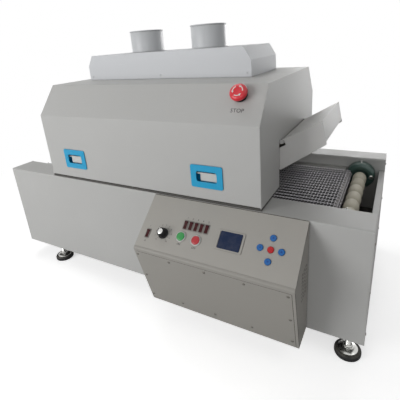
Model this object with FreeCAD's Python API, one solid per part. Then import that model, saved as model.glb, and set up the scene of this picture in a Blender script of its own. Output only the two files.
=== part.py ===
import FreeCAD, Part
import math
import os

os.makedirs("parts", exist_ok=True)

# Bench conveyor reflow oven. X runs along the conveyor with the outlet at +X,
# Y runs from the operator to the back, Z is up. Lengths are millimetres.
# Working frame: x from the middle of the base, y from the base front wall, z from the base underside.

# base cabinet
base_length = 1450.0
base_depth = 637.0
base_height = 360.0
sheet = 2.0
bend = 3.0
front_rim = 104.0
rear_rim = 84.0
trough_depth = 210.0
end_plate_drop = 46.0
end_flange = 18.0

# levelling feet
foot_height = 75.0
pad_radius = 38.0
pad_height = 24.0
pad_socket = 12.0
stem_radius = 8.0
foot_nut_radius = 15.0
foot_nut_height = 10.0
foot_setback = 34.0
foot_outlet_setback = 43.0
foot_inlet_setback = 173.0

# conveyor
belt_side_gap = 40.0
belt_drop = 38.0
belt_thick = 3.0
belt_rows = 72
belt_lanes = 4
belt_bar = 6.0
belt_roller_gap = 3.0
nose_radius = 12.0
rail_flange = 52.0
rail_web = 66.0
rail_sheet = 3.0
rail_arm = 60.0
rail_bearing_gap = 4.0
roller_setback = 81.0
roller_radius = 24.0
roller_drop = 1.0
roller_end_gap = 4.0
roller_edge = 1.5
shaft_radius = 9.0
shaft_hole_gap = 4.0
bearing_radius = 50.0
bearing_depth = 36.0
bearing_well = 27.0
bearing_well_floor = 12.0
run_clearance = 0.3

# hood
hood_length = 882.0
hood_shift = -9.0
seal_height = 6.7
seal_width = 8.0
seal_trough_gap = 4.0
seat_gap = 0.3
hood_set_in = 4.0
hood_front_height = 239.0
hood_slant_rise = 103.0
hood_top_set_in = 86.0
hood_return = 20.0
mouth_inset = 30.0
mouth_height = 147.0
liner_side_gap = 6.0
liner_rise = 103.0
liner_flange_rise = 5.0
liner_end_gap = 105.0
vent_hole_inset = 5.0

# heater tubes
heater_radius = 7.0
heater_count = 7
upper_heater_drop = 30.0
lower_heater_gap = 6.0

# exhaust box and duct collars
exhaust_left_inset = 54.0
exhaust_right_inset = 109.0
exhaust_front_inset = 150.0
exhaust_back_inset = 61.0
exhaust_shoulder = 54.0
exhaust_rise = 96.0
exhaust_chamfer = 26.0
collar_radius = 65.0
collar_wall = 2.0
collar_height = 81.0
collar_left_inset = 221.0
collar_right_inset = 214.0
fan_hub_radius = 22.0
fan_hub_height = 20.0
fan_hub_edge = 3.0
fan_blades = 5
fan_blade_thick = 1.6
fan_root_chord = 20.0
fan_tip_chord = 30.0
fan_root_pitch = 42.0
fan_tip_pitch = 26.0
fan_tip_gap = 3.0
spider_rise = 8.0
spider_thick = 6.0
spider_arm = 6.0

# flaps over the tunnel mouths
flap_length = 138.0
flap_side_gap = 5.0
flap_lip = 61.0
flap_lip_lean = 20.0
flap_cheek = 84.0
flap_cheek_back = 60.0
flap_cheek_drop = 9.0
flap_shoulder = 22.0
flap_neck = 18.0
flap_sheet = 1.5
flap_pin_radius = 3.0
flap_pin_out = 8.0
flap_pin_rise = 3.0
flap_lug = 4.0
flap_eye = 6.0
outlet_flap_rise = 30.0

# console
console_width = 504.0
console_setback = 158.0
console_reach = 142.0
console_nose_drop = 123.0
console_foot_reach = 83.0
panel_sheet = 2.0
cover_fold = 6.0
cover_lip = 10.0
vent_rows = 8
vent_columns = 3
vent_height = 4.0
vent_length = 14.0
vent_gap_y = 6.0
vent_gap_z = 8.0
vent_first_y = 18.0
vent_drop = 210.0

# panel controls: x from the console's left cheek, and distance down the slope from the top edge
main_rocker_at = (31.0, 133.0)
zone_rocker_at = (151.0, 82.0)
zone_rocker_count = 5
zone_rocker_pitch = 18.0
rocker_width = 10.4
rocker_length = 24.0
rocker_end = 2.8
rocker_dip = 1.0
rocker_belly = 2.5
rocker_tilt = 7.0
rocker_axis_drop = 3.0
rocker_hub = 2.4
rocker_pin = 1.2
rocker_pin_out = 0.9
rocker_end_gap = 0.9
frame_border = 2.0
frame_proud = 1.5
frame_skirt = 9.0
knob_at = (86.0, 123.0)
knob_radius = 17.0
knob_height = 19.0
knob_skirt = 6.0
knob_shaft = 3.0
knob_grip = 7.0
start_at = (149.0, 120.0)
stop_at = (201.0, 121.0)
button_radius = 11.5
button_stem = 10.0
button_proud = 5.0
bezel_radius = 15.0
bezel_proud = 4.0
bezel_wall = 1.5
bezel_skirt = 14.0
lcd_at = (304.0, 101.0)
lcd_width = 74.0
lcd_height = 50.0
lcd_border = 4.0
lcd_deep = 9.0
lcd_proud = 1.5
lcd_sunk = 1.2
key_at = (421.5, 98.5)
key_step_x = 29.5
key_step_v = 32.5
key_radius = 9.0
key_proud = 2.6
key_rim = 2.0
key_stem = 6.0

# emergency stop on the slanted face
estop_inset = 75.0
estop_up = 92.0
estop_radius = 26.0
estop_collar_radius = 21.0
estop_collar_height = 7.0
estop_thread = 12.0
estop_stem = 9.0
estop_deep = 18.0
estop_travel = 6.0
estop_rim = 6.0
estop_dome = 8.0

# pull latches on the hood front
latch_left_inset = 147.0
latch_right_inset = 170.5
latch_rise = 77.0
latch_width = 108.0
latch_height = 73.0
latch_border = 5.0
latch_wall = 3.0
latch_depth = 22.0
latch_proud = 3.0
latch_window_width = 70.0
latch_window_height = 34.0
latch_window_corner = 8.0
latch_axle_deep = 5.5
paddle_height = 26.0
paddle_thick = 4.0
paddle_left_gap = 12.0
paddle_right_gap = 2.0
paddle_axle = 2.5
paddle_axle_rise = 8.0

# rear hinges
hinge_length = 90.0
hinge_barrel = 6.5
hinge_pin = 3.0
hinge_out = 8.0
hinge_leaf = 2.5
hinge_leaf_height = 36.0
hinge_neck = 12.0
hinge_left_inset = 130.0
hinge_right_inset = 132.0

# drive
motor_reach = 104.0
motor_drop = 58.0
motor_radius = 42.0
motor_length = 120.0
gearbox_half = 48.0
gearbox_rise = 50.0
gearbox_length = 60.0
motor_foot_half = 40.0
motor_foot_length = 100.0
motor_foot_lap = 6.0
spindle_radius = 8.0
spindle_length = 12.0
motor_hub_radius = 13.0
motor_hub_length = 24.0
sprocket_gap = 36.0
sprocket_thick = 6.0
motor_sprocket_radius = 22.0
roller_sprocket_radius = 28.0
chain_thick = 5.0

# back of the base: bolted service panel with vent slots, and a cable gland
service_width = 560.0
service_height = 210.0
service_rise = 60.0
service_round = 8.0
service_slots = 6
service_slot_length = 90.0
service_slot_height = 5.0
service_slot_pitch = 14.0
service_slot_inset = 60.0
gland_setback = 125.0
gland_rise = 80.0
gland_radius = 14.0
gland_bore = 5.0
gland_flange = 6.0
gland_reach = 22.0

# cutters run past the sheet they cut by this much
past = 1.0

half_length = base_length / 2
rear_wall_y = base_depth - rear_rim
trough_middle = (front_rim + rear_wall_y) / 2
trough_floor = base_height - trough_depth
end_plate_top = base_height - end_plate_drop
belt_top = base_height - belt_drop
belt_front = front_rim + belt_side_gap
belt_back = rear_wall_y - belt_side_gap
belt_under = belt_top - belt_thick
turn_outer = nose_radius + belt_thick
roller_x = half_length - roller_setback
roller_z = belt_top - roller_drop - roller_radius
nose_x = roller_x - roller_radius - belt_roller_gap - turn_outer
nose_z = belt_under - nose_radius
hood_left = hood_shift - hood_length / 2
hood_right = hood_shift + hood_length / 2
hood_bottom = base_height + seal_height + seat_gap
hood_break_z = hood_bottom + hood_front_height
hood_top_z = hood_break_z + hood_slant_rise
hood_rear = base_depth - hood_set_in
top_rear = base_depth - hood_top_set_in
mouth_front = belt_front + mouth_inset
mouth_back = belt_back - mouth_inset
mouth_top = hood_bottom + mouth_height
flap_front = mouth_front + flap_side_gap
flap_back = mouth_back - flap_side_gap
flap_pin_z = mouth_top + flap_pin_rise
liner_left = hood_left + liner_end_gap
liner_right = hood_right - liner_end_gap
liner_front = belt_front - liner_side_gap
liner_back = belt_back + liner_side_gap
liner_top = hood_bottom + liner_rise
liner_flange_z = hood_bottom + liner_flange_rise
upper_heater_z = liner_top - upper_heater_drop
lower_heater_z = belt_under - rail_web - heater_radius - lower_heater_gap
exhaust_left = hood_left + exhaust_left_inset
exhaust_right = hood_right - exhaust_right_inset
exhaust_front = hood_top_set_in + exhaust_front_inset
exhaust_back = top_rear - exhaust_back_inset
exhaust_shoulder_z = hood_top_z + exhaust_shoulder
exhaust_top_z = hood_top_z + exhaust_rise
collar_xs = (exhaust_left + collar_left_inset, exhaust_right - collar_right_inset)
collar_y = (exhaust_front + exhaust_back) / 2
collar_in = collar_radius - collar_wall
console_right = half_length - console_setback
console_left = console_right - console_width
console_nose_z = base_height - console_nose_drop
latch_xs = (hood_left + latch_left_inset, hood_right - latch_right_inset)
latch_z = hood_bottom + latch_rise
hinge_xs = (hood_left + hinge_left_inset, hood_right - hinge_right_inset)
motor_x = roller_x - motor_reach
motor_z = trough_floor - motor_drop
sprocket_plane = rear_wall_y + sprocket_gap
service_x = (hood_left + hood_right) / 2


def vec(x, y, z):
    return FreeCAD.Vector(x, y, z)


def box(x0, x1, y0, y1, z0, z1):
    return Part.makeBox(x1 - x0, y1 - y0, z1 - z0, vec(x0, y0, z0))


def rod(radius, start, end):
    line = end - start
    return Part.makeCylinder(radius, line.Length, start, line)


# closed outline of straight sides whose corners are rounded by the given radii
def rounded_face(points, radii, place):
    count = len(points)
    starts = []
    ends = []
    middles = []
    for i in range(count):
        px, py = points[i]
        ax = points[i - 1][0] - px
        ay = points[i - 1][1] - py
        bx = points[(i + 1) % count][0] - px
        by = points[(i + 1) % count][1] - py
        la = math.hypot(ax, ay)
        lb = math.hypot(bx, by)
        ax, ay, bx, by = ax / la, ay / la, bx / lb, by / lb
        half = math.acos(max(-1.0, min(1.0, ax * bx + ay * by))) / 2
        if radii[i] <= 0 or half > 1.5707:
            starts.append((px, py))
            ends.append((px, py))
            middles.append(None)
            continue
        reach = radii[i] / math.tan(half)
        cx, cy = ax + bx, ay + by
        lc = math.hypot(cx, cy)
        depth = radii[i] / math.sin(half) - radii[i]
        starts.append((px + ax * reach, py + ay * reach))
        ends.append((px + bx * reach, py + by * reach))
        middles.append((px + cx / lc * depth, py + cy / lc * depth))
    edges = []
    for i in range(count):
        if middles[i] is not None:
            edges.append(Part.Arc(place(*starts[i]), place(*middles[i]), place(*ends[i])).toShape())
        after = starts[(i + 1) % count]
        edges.append(Part.LineSegment(place(*ends[i]), place(*after)).toShape())
    return Part.Face(Part.Wire(edges))


# one bent sheet: a path of straight runs, thickened to its left, with bends of one inner radius
def folded_face(path, thick, inner, place):
    normals = []
    for i in range(len(path) - 1):
        dx = path[i + 1][0] - path[i][0]
        dy = path[i + 1][1] - path[i][1]
        length = math.hypot(dx, dy)
        normals.append((-dy / length, dx / length))
    other = []
    near_radii = []
    far_radii = []
    for i in range(len(path)):
        first = normals[max(i - 1, 0)]
        second = normals[min(i, len(normals) - 1)]
        share = 1 + first[0] * second[0] + first[1] * second[1]
        mx = (first[0] + second[0]) / share * thick
        my = (first[1] + second[1]) / share * thick
        other.append((path[i][0] + mx, path[i][1] + my))
        turn = first[0] * second[1] - first[1] * second[0]
        if abs(turn) < 1e-6:
            near_radii.append(0)
            far_radii.append(0)
        elif turn > 0:
            near_radii.append(inner + thick)
            far_radii.append(inner)
        else:
            near_radii.append(inner)
            far_radii.append(inner + thick)
    return rounded_face(path + other[::-1], near_radii + far_radii[::-1], place)


def along_x(face_of, x0, x1):
    return face_of(lambda y, z: vec(x0, y, z)).extrude(vec(x1 - x0, 0, 0))


def along_y(face_of, y0, y1):
    return face_of(lambda x, z: vec(x, y0, z)).extrude(vec(0, y1 - y0, 0))


# round piece: outline of radius and height, turned about a local Z axis
def turned(outline):
    points = [vec(r, 0, z) for r, z in outline]
    points.append(points[0])
    return Part.Face(Part.makePolygon(points)).revolve(vec(0, 0, 0), vec(0, 0, 1), 360)


def rounded_block(width, height, depth, radius):
    a = width / 2
    b = height / 2
    corners = [(-a, -b), (a, -b), (a, b), (-a, b)]
    return rounded_face(corners, [radius] * 4, lambda x, y: vec(x, y, 0)).extrude(vec(0, 0, depth))


nodes = {}


def keep(name, *shapes):
    solids = []
    for shape in shapes:
        solids.extend(shape.Solids)
    nodes[name] = solids[0] if len(solids) == 1 else Part.makeCompound(solids)


# base cabinet: two folded walls, each an outer wall, a top rim and an inner trough wall
inside = half_length - sheet
front_path = [(0, 0), (0, base_height), (front_rim, base_height), (front_rim, trough_floor)]
front_panel = along_x(lambda p: folded_face(front_path[::-1], sheet, bend, p), -inside, inside)
rear_path = [(base_depth, 0), (base_depth, base_height), (rear_wall_y, base_height),
             (rear_wall_y, trough_floor)]
rear_panel = along_x(lambda p: folded_face(rear_path, sheet, bend, p), -inside, inside)
shaft_hole = shaft_radius + shaft_hole_gap
for side in (-1, 1):
    start = vec(side * roller_x, rear_wall_y - past, roller_z)
    rear_panel = rear_panel.cut(rod(shaft_hole, start, start + vec(0, sheet + 2 * past, 0)))
slots = []
for side in (-1, 1):
    slot_x = service_x + side * (service_width / 2 - service_slot_inset - service_slot_length / 2)
    for i in range(service_slots):
        z = service_rise + service_height / 2 + (i - (service_slots - 1) / 2) * service_slot_pitch
        slots.append(box(slot_x - service_slot_length / 2, slot_x + service_slot_length / 2,
                         base_depth - sheet - past, base_depth + sheet + past,
                         z - service_slot_height / 2, z + service_slot_height / 2))
slot_cutter = Part.makeCompound(slots)
rear_panel = rear_panel.cut(slot_cutter)
keep("front_panel", front_panel)
keep("rear_panel", rear_panel)
keep("floor_pan", box(-inside, inside, sheet, base_depth - sheet, 0, sheet))

# service panel bolted to the back wall, slotted with it
service_low = service_rise
service_corners = [(service_x - service_width / 2, service_low), (service_x + service_width / 2, service_low),
                   (service_x + service_width / 2, service_low + service_height),
                   (service_x - service_width / 2, service_low + service_height)]
service_panel = along_y(lambda p: rounded_face(service_corners, [service_round] * 4, p),
                        base_depth, base_depth + sheet)
keep("service_panel", service_panel.cut(slot_cutter))


# end plate: full height at the rims, lower between them, with a flange turned in along its low edge
def end_plate(side):
    outline = [(0, 0), (base_depth, 0), (base_depth, base_height), (rear_wall_y, base_height),
               (rear_wall_y, end_plate_top), (front_rim, end_plate_top), (front_rim, base_height),
               (0, base_height)]
    radii = [0, 0, bend, 0, 0, 0, 0, bend]
    plate = along_x(lambda p: rounded_face(outline, radii, p), inside, half_length)
    flange = box(half_length - end_flange, inside, front_rim, rear_wall_y,
                 end_plate_top - sheet, end_plate_top)
    plate = plate.fuse(flange).removeSplitter()
    if side < 0:
        plate = plate.mirror(vec(0, 0, 0), vec(1, 0, 0))
    return plate


keep("outlet_end_plate", end_plate(1))
keep("inlet_end_plate", end_plate(-1))

# lower chamber: a tray across the trough floor and radiant tubes between the trough walls
keep("heater_tray", box(-inside, inside, front_rim, rear_wall_y, trough_floor, trough_floor + sheet))
heater_pitch = (liner_right - liner_left) / heater_count
heater_xs = [liner_left + heater_pitch * (i + 0.5) for i in range(heater_count)]
lower_tubes = []
for x in heater_xs:
    start = vec(x, front_rim, lower_heater_z)
    lower_tubes.append(rod(heater_radius, start, vec(x, rear_wall_y, lower_heater_z)))
keep("lower_heaters", *lower_tubes)

# wire belt: the top run is one holed sheet of cross bars in lanes
belt_width = belt_back - belt_front
row_pitch = 2 * nose_x / belt_rows
lane_pitch = (belt_width - belt_bar) / belt_lanes
outer = Part.makePolygon([vec(-nose_x, belt_front, belt_under), vec(nose_x, belt_front, belt_under),
                          vec(nose_x, belt_back, belt_under), vec(-nose_x, belt_back, belt_under),
                          vec(-nose_x, belt_front, belt_under)])
holes = []
for i in range(belt_rows):
    for j in range(belt_lanes):
        x0 = -nose_x + i * row_pitch + belt_bar / 2
        x1 = x0 + row_pitch - belt_bar
        y0 = belt_front + belt_bar + j * lane_pitch
        y1 = y0 + lane_pitch - belt_bar
        corners = [(x0, y0), (x0, y1), (x1, y1), (x1, y0), (x0, y0)]
        holes.append(Part.makePolygon([vec(x, y, belt_under) for x, y in corners]))
belt_net = Part.Face([outer] + holes)
keep("belt_top_run", belt_net.extrude(vec(0, 0, belt_thick)))

# return run and the half turns round the two nose bars
return_top = nose_z - nose_radius
loop = box(-nose_x, nose_x, belt_front, belt_back, return_top - belt_thick, return_top)
for side in (-1, 1):
    a = vec(side * nose_x, belt_front, nose_z)
    b = vec(side * nose_x, belt_back, nose_z)
    ring = rod(turn_outer, a, b).cut(rod(nose_radius, a, b))
    x0 = min(side * nose_x, side * (nose_x + turn_outer))
    half = box(x0, x0 + turn_outer, belt_front, belt_back, nose_z - turn_outer, nose_z + turn_outer)
    loop = loop.fuse(ring.common(half))
keep("belt_return_run", loop.removeSplitter())

# side rails under the belt edges, bolted flat to the trough walls. Arms at their ends carry the nose bars.
rails = []
bar_radius = nose_radius - run_clearance
rail_end = roller_x - bearing_radius - rail_bearing_gap
arm_faces = []
for wall, inward in ((front_rim, 1), (rear_wall_y, -1)):
    web_y = min(wall, wall + inward * rail_sheet)
    flange_y = min(wall, wall + inward * rail_flange)
    arm_y = min(wall + inward * rail_flange, wall + inward * (rail_flange - rail_sheet))
    arm_faces.append(wall + inward * rail_flange)
    rail = box(-rail_end, rail_end, web_y, web_y + rail_sheet, belt_under - rail_web, belt_under)
    rail = rail.fuse(box(-rail_end, rail_end, flange_y, flange_y + rail_flange,
                         belt_under - rail_sheet, belt_under))
    for side in (-1, 1):
        near_x = min(side * nose_x, side * (nose_x - rail_arm))
        arm = box(near_x, near_x + rail_arm, arm_y, arm_y + rail_sheet,
                  nose_z - bar_radius, nose_z + bar_radius)
        tip = vec(side * nose_x, arm_y, nose_z)
        arm = arm.fuse(rod(bar_radius, tip, tip + vec(0, rail_sheet, 0)))
        hang_x = min(side * rail_end, side * (nose_x - rail_arm))
        hang_to = max(side * rail_end, side * (nose_x - rail_arm))
        arm = arm.fuse(box(hang_x, hang_to, arm_y, arm_y + rail_sheet, nose_z, belt_under))
        rail = rail.fuse(arm)
    rails.append(rail.removeSplitter())
keep("belt_rails", *rails)
bars = []
for side in (-1, 1):
    bars.append(rod(bar_radius, vec(side * nose_x, arm_faces[0], nose_z),
                    vec(side * nose_x, arm_faces[1], nose_z)))
keep("nose_bars", *bars)

# flange bearings on the trough walls and the two rollers that run in them
bore = shaft_radius + run_clearance
shell = turned([(bore, 0), (bearing_radius - 3, 0), (bearing_radius, 3), (bearing_radius, bearing_depth - 11),
                (bearing_radius - 3, bearing_depth - 4), (bearing_radius - 9, bearing_depth),
                (bearing_well + 2, bearing_depth), (bearing_well, bearing_depth - 2),
                (bearing_well, bearing_well_floor), (bore, bearing_well_floor)])
blocks = []
for side in (-1, 1):
    near = shell.copy()
    near.rotate(vec(0, 0, 0), vec(1, 0, 0), -90)
    near.translate(vec(side * roller_x, front_rim, roller_z))
    far = shell.copy()
    far.rotate(vec(0, 0, 0), vec(1, 0, 0), 90)
    far.translate(vec(side * roller_x, rear_wall_y, roller_z))
    blocks.extend([near, far])
keep("bearing_blocks", *blocks)


def roller(x, end_y):
    drum_front = front_rim + bearing_depth + roller_end_gap
    drum_back = rear_wall_y - bearing_depth - roller_end_gap
    drum = rod(roller_radius, vec(x, drum_front, roller_z), vec(x, drum_back, roller_z))
    rim_edges = [e for e in drum.Edges if e.Curve.TypeId == "Part::GeomCircle"]
    drum = drum.makeChamfer(roller_edge, rim_edges)
    return drum.fuse(rod(shaft_radius, vec(x, front_rim + run_clearance, roller_z), vec(x, end_y, roller_z)))


teeth_outline = sprocket_plane - sprocket_thick / 2
out_roller = roller(roller_x, sprocket_plane + sprocket_thick / 2)
wheel = rod(roller_sprocket_radius, vec(roller_x, teeth_outline, roller_z),
            vec(roller_x, teeth_outline + sprocket_thick, roller_z))
keep("outfeed_roller", out_roller.fuse(wheel))
keep("infeed_roller", roller(-roller_x, rear_wall_y - run_clearance))

# gear motor on the floor, its sprocket, and the chain up to the outfeed roller
hub_start = teeth_outline - motor_hub_length
spindle_end = hub_start - run_clearance
gearbox_back = spindle_end - spindle_length
gearbox_front = gearbox_back - gearbox_length
motor = rod(motor_radius, vec(motor_x, gearbox_front - motor_length, motor_z),
            vec(motor_x, gearbox_front, motor_z))
gearbox = box(motor_x - gearbox_half, motor_x + gearbox_half, gearbox_front, gearbox_back,
              sheet, motor_z + gearbox_rise)
foot = box(motor_x - motor_foot_half, motor_x + motor_foot_half,
           gearbox_front - motor_foot_length, gearbox_front,
           sheet, motor_z - motor_radius + motor_foot_lap)
spindle = rod(spindle_radius, vec(motor_x, gearbox_back, motor_z), vec(motor_x, spindle_end, motor_z))
keep("gear_motor", motor.fuse([gearbox, foot, spindle]).removeSplitter())
drive = rod(motor_sprocket_radius, vec(motor_x, teeth_outline, motor_z),
            vec(motor_x, teeth_outline + sprocket_thick, motor_z))
hub = rod(motor_hub_radius, vec(motor_x, hub_start, motor_z), vec(motor_x, teeth_outline, motor_z))
keep("motor_sprocket", drive.fuse(hub))


# belt-shaped band round two wheels: hull of two circles in the x, z plane
def band_face(grow, place):
    gap_x = roller_x - motor_x
    gap_z = roller_z - motor_z
    span = math.hypot(gap_x, gap_z)
    tilt = math.atan2(gap_z, gap_x)
    small = motor_sprocket_radius + grow
    large = roller_sprocket_radius + grow
    lean = math.asin((large - small) / span)

    def on(cx, cz, r, angle):
        return place(cx + r * math.cos(angle), cz + r * math.sin(angle))

    up = tilt + math.pi / 2 + lean
    down = tilt - math.pi / 2 - lean
    first = Part.Arc(on(motor_x, motor_z, small, up), on(motor_x, motor_z, small, tilt + math.pi),
                     on(motor_x, motor_z, small, down)).toShape()
    side_a = Part.LineSegment(on(motor_x, motor_z, small, down),
                              on(roller_x, roller_z, large, down)).toShape()
    second = Part.Arc(on(roller_x, roller_z, large, down), on(roller_x, roller_z, large, tilt),
                      on(roller_x, roller_z, large, up)).toShape()
    side_b = Part.LineSegment(on(roller_x, roller_z, large, up), on(motor_x, motor_z, small, up)).toShape()
    return Part.Face(Part.Wire([first, side_a, second, side_b]))


teeth_end = teeth_outline + sprocket_thick
chain_outer = along_y(lambda p: band_face(run_clearance + chain_thick, p), teeth_outline, teeth_end)
chain_inner = along_y(lambda p: band_face(run_clearance, p), teeth_outline - past, teeth_end + past)
keep("drive_chain", chain_outer.cut(chain_inner))

# levelling feet: a domed rubber pad, and a threaded stem with its lock nut
pad_bore = stem_radius + run_clearance
pad = turned([(0, 0), (pad_radius - 2, 0), (pad_radius, 2), (pad_radius, pad_height * 0.45),
              (pad_radius * 0.55, pad_height), (pad_bore, pad_height), (pad_bore, pad_socket),
              (0, pad_socket)])
pads = []
stems = []
for x in (foot_inlet_setback - half_length, half_length - foot_outlet_setback):
    for y in (foot_setback, base_depth - foot_setback):
        place = vec(x, y, -foot_height)
        foot_pad = pad.copy()
        foot_pad.translate(place)
        pads.append(foot_pad)
        stem = rod(stem_radius, place + vec(0, 0, pad_socket), vec(x, y, 0))
        nut_corners = []
        for k in range(7):
            angle = math.radians(60 * k)
            nut_corners.append(vec(x + foot_nut_radius * math.cos(angle),
                                   y + foot_nut_radius * math.sin(angle), -foot_nut_height))
        nut = Part.Face(Part.makePolygon(nut_corners)).extrude(vec(0, 0, foot_nut_height))
        stems.append(stem.fuse(nut).removeSplitter())
keep("foot_pads", *pads)
keep("foot_stems", *stems)

# console: side cheeks and a floor under a slanted panel, with a screwed front cover
slope = math.hypot(console_reach, base_height - console_nose_z)
slope_y = console_reach / slope
slope_z = (base_height - console_nose_z) / slope
cover_len = math.hypot(console_reach - console_foot_reach, console_nose_z)
cover_ny = -console_nose_z / cover_len
cover_nz = -(console_reach - console_foot_reach) / cover_len


# distance down the panel slope and height off its face, as y and z
def on_panel(v, w):
    return (-slope_y * v - slope_z * w, base_height - slope_z * v + slope_y * w)


# distance down the front cover and height off its face, as y and z
def on_cover(v, w):
    share = v / cover_len
    y = -console_reach + (console_reach - console_foot_reach) * share + cover_ny * w
    return (y, console_nose_z * (1 - share) + cover_nz * w)


corner = on_panel(slope, 0)


def line_meet(a, b, c, d):
    r = (b[0] - a[0], b[1] - a[1])
    s = (d[0] - c[0], d[1] - c[1])
    k = ((c[0] - a[0]) * s[1] - (c[1] - a[1]) * s[0]) / (r[0] * s[1] - r[1] * s[0])
    return (a[0] + r[0] * k, a[1] + r[1] * k)


inner_nose = line_meet(on_panel(0, -panel_sheet), on_panel(slope, -panel_sheet),
                       on_cover(0, -panel_sheet), on_cover(cover_len, -panel_sheet))
inner_top = line_meet(on_panel(0, -panel_sheet), on_panel(slope, -panel_sheet), (0, 0), (0, base_height))
inner_foot = line_meet(on_cover(0, -panel_sheet), on_cover(cover_len, -panel_sheet), (-1, 0), (1, 0))
cheek_outline = [inner_top, inner_nose, inner_foot, (0, 0)]
console_shell = along_x(lambda p: rounded_face(cheek_outline, [0, cover_fold + past, 0, 0], p),
                        console_left, console_right)
hollow = box(console_left + sheet, console_right - sheet, -console_reach - past, past,
             sheet, base_height + past)
console_shell = console_shell.cut(hollow)
vents = []
for i in range(vent_columns):
    for j in range(vent_rows):
        y = -vent_first_y - i * (vent_length + vent_gap_y)
        z = base_height - vent_drop + j * (vent_height + vent_gap_z)
        for x in (console_left, console_right - sheet):
            vents.append(box(x - past, x + sheet + past, y - vent_length, y, z, z + vent_height))
console_shell = console_shell.cut(Part.makeCompound(vents))
keep("console_shell", console_shell)

# front cover: flat sheet folded over the nose onto the panel slope
panel_end = slope - cover_lip
cover_path = [on_cover(cover_len, 0), corner, on_panel(panel_end, 0)]
console_cover = along_x(lambda p: folded_face(cover_path[::-1], panel_sheet, cover_fold, p),
                        console_left, console_right)
keep("console_cover", console_cover)

panel_turn = FreeCAD.Matrix(1, 0, 0, 0,
                            0, slope_y, -slope_z, 0,
                            0, slope_z, slope_y, base_height,
                            0, 0, 0, 1)


def placed(shape, matrix):
    copy = shape.copy()
    copy.Placement = FreeCAD.Placement(matrix).multiply(copy.Placement)
    return copy


def at(shape, x, y, z):
    copy = shape.copy()
    copy.translate(vec(x, y, z))
    return copy


# piece made about its own middle, set on the panel at x from the left cheek and v down the slope
def on_face(shape, spot):
    return placed(at(shape, console_left + spot[0], -spot[1], 0), panel_turn)


# straight cutter through the panel sheet at such a spot
def panel_hole(shape, spot):
    return at(shape, console_left + spot[0], -spot[1], -deep_cut)


deep_cut = panel_sheet + past
rockers = {"main_rocker": main_rocker_at}
for i in range(zone_rocker_count):
    rockers["zone_rocker_%d" % (i + 1)] = (zone_rocker_at[0] + i * zone_rocker_pitch, zone_rocker_at[1])
frame_in_w = rocker_width + 2 * run_clearance
frame_in_l = rocker_length + 2 * rocker_end_gap
cut_w = frame_in_w + frame_border
cut_l = frame_in_l + frame_border
control_panel = box(console_left, console_right, -panel_end, 0, -panel_sheet, 0)
through = []
frames = []
for name in rockers:
    through.append(panel_hole(rounded_block(cut_w, cut_l, 2 * deep_cut, 1), rockers[name]))
    flat = rounded_block(frame_in_w + 2 * frame_border, frame_in_l + 2 * frame_border, frame_proud, 1.5)
    skirt = at(rounded_block(cut_w, cut_l, frame_skirt, 1), 0, 0, -frame_skirt)
    hole = at(rounded_block(frame_in_w, frame_in_l, frame_skirt + frame_proud + 2 * past, 0.8),
              0, 0, -frame_skirt - past)
    pivot = vec(0, 0, -rocker_axis_drop)
    pin_reach = vec(rocker_width / 2 + rocker_pin_out, 0, 0)
    eyes = rod(rocker_pin + run_clearance, pivot - pin_reach, pivot + pin_reach)
    frames.append(on_face(flat.fuse(skirt).cut(hole).cut(eyes).removeSplitter(), rockers[name]))
    half = rocker_length / 2
    dish = rounded_face([(-half, -rocker_belly), (half, -rocker_belly), (half, rocker_end), (0, rocker_dip),
                         (-half, rocker_end)], [0.4, 0.4, 0.6, 8, 0.6],
                        lambda y, z: vec(-rocker_width / 2, y, z)).extrude(vec(rocker_width, 0, 0))
    hub_reach = vec(rocker_width / 2, 0, 0)
    dish = dish.fuse(rod(rocker_hub, pivot - hub_reach, pivot + hub_reach))
    pin_end = pin_reach - vec(run_clearance, 0, 0)
    dish = dish.fuse(rod(rocker_pin, pivot - pin_end, pivot + pin_end)).removeSplitter()
    dish.rotate(pivot, vec(1, 0, 0), rocker_tilt)
    keep(name, on_face(dish, rockers[name]))
keep("switch_frames", *frames)

bezels = []
collar_bore = button_radius + run_clearance
bezel_neck = collar_bore + bezel_wall
for name, spot in (("start_button", start_at), ("stop_button", stop_at)):
    through.append(panel_hole(Part.makeCylinder(bezel_neck, 2 * deep_cut), spot))
    ring = turned([(collar_bore, -bezel_skirt), (bezel_neck, -bezel_skirt), (bezel_neck, 0),
                   (bezel_radius, 0), (bezel_radius, bezel_proud / 2),
                   (bezel_radius - bezel_proud / 2, bezel_proud),
                   (collar_bore, bezel_proud)])
    bezels.append(on_face(ring, spot))
    cap = turned([(0, -button_stem), (button_radius, -button_stem), (button_radius, button_proud - 1),
                  (button_radius - 1, button_proud), (0, button_proud + 0.6)])
    keep(name, on_face(cap, spot))
keep("button_bezels", *bezels)

# speed knob: skirted, with a raised grip bar, on a shaft through the panel
through.append(panel_hole(Part.makeCylinder(knob_shaft + run_clearance, 2 * deep_cut), knob_at))
skirt = turned([(0, run_clearance), (knob_radius, run_clearance), (knob_radius, knob_skirt / 2),
                (knob_radius - 4, knob_skirt), (knob_radius - 5, knob_height), (0, knob_height)])
grip = at(rounded_block(knob_grip, 2 * knob_radius - 3, 3, 2), 0, 0, knob_height)
stub = at(Part.makeCylinder(knob_shaft, bezel_skirt), 0, 0, past - bezel_skirt)
keep("speed_knob", on_face(skirt.fuse([grip, stub]).removeSplitter(), knob_at))

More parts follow.
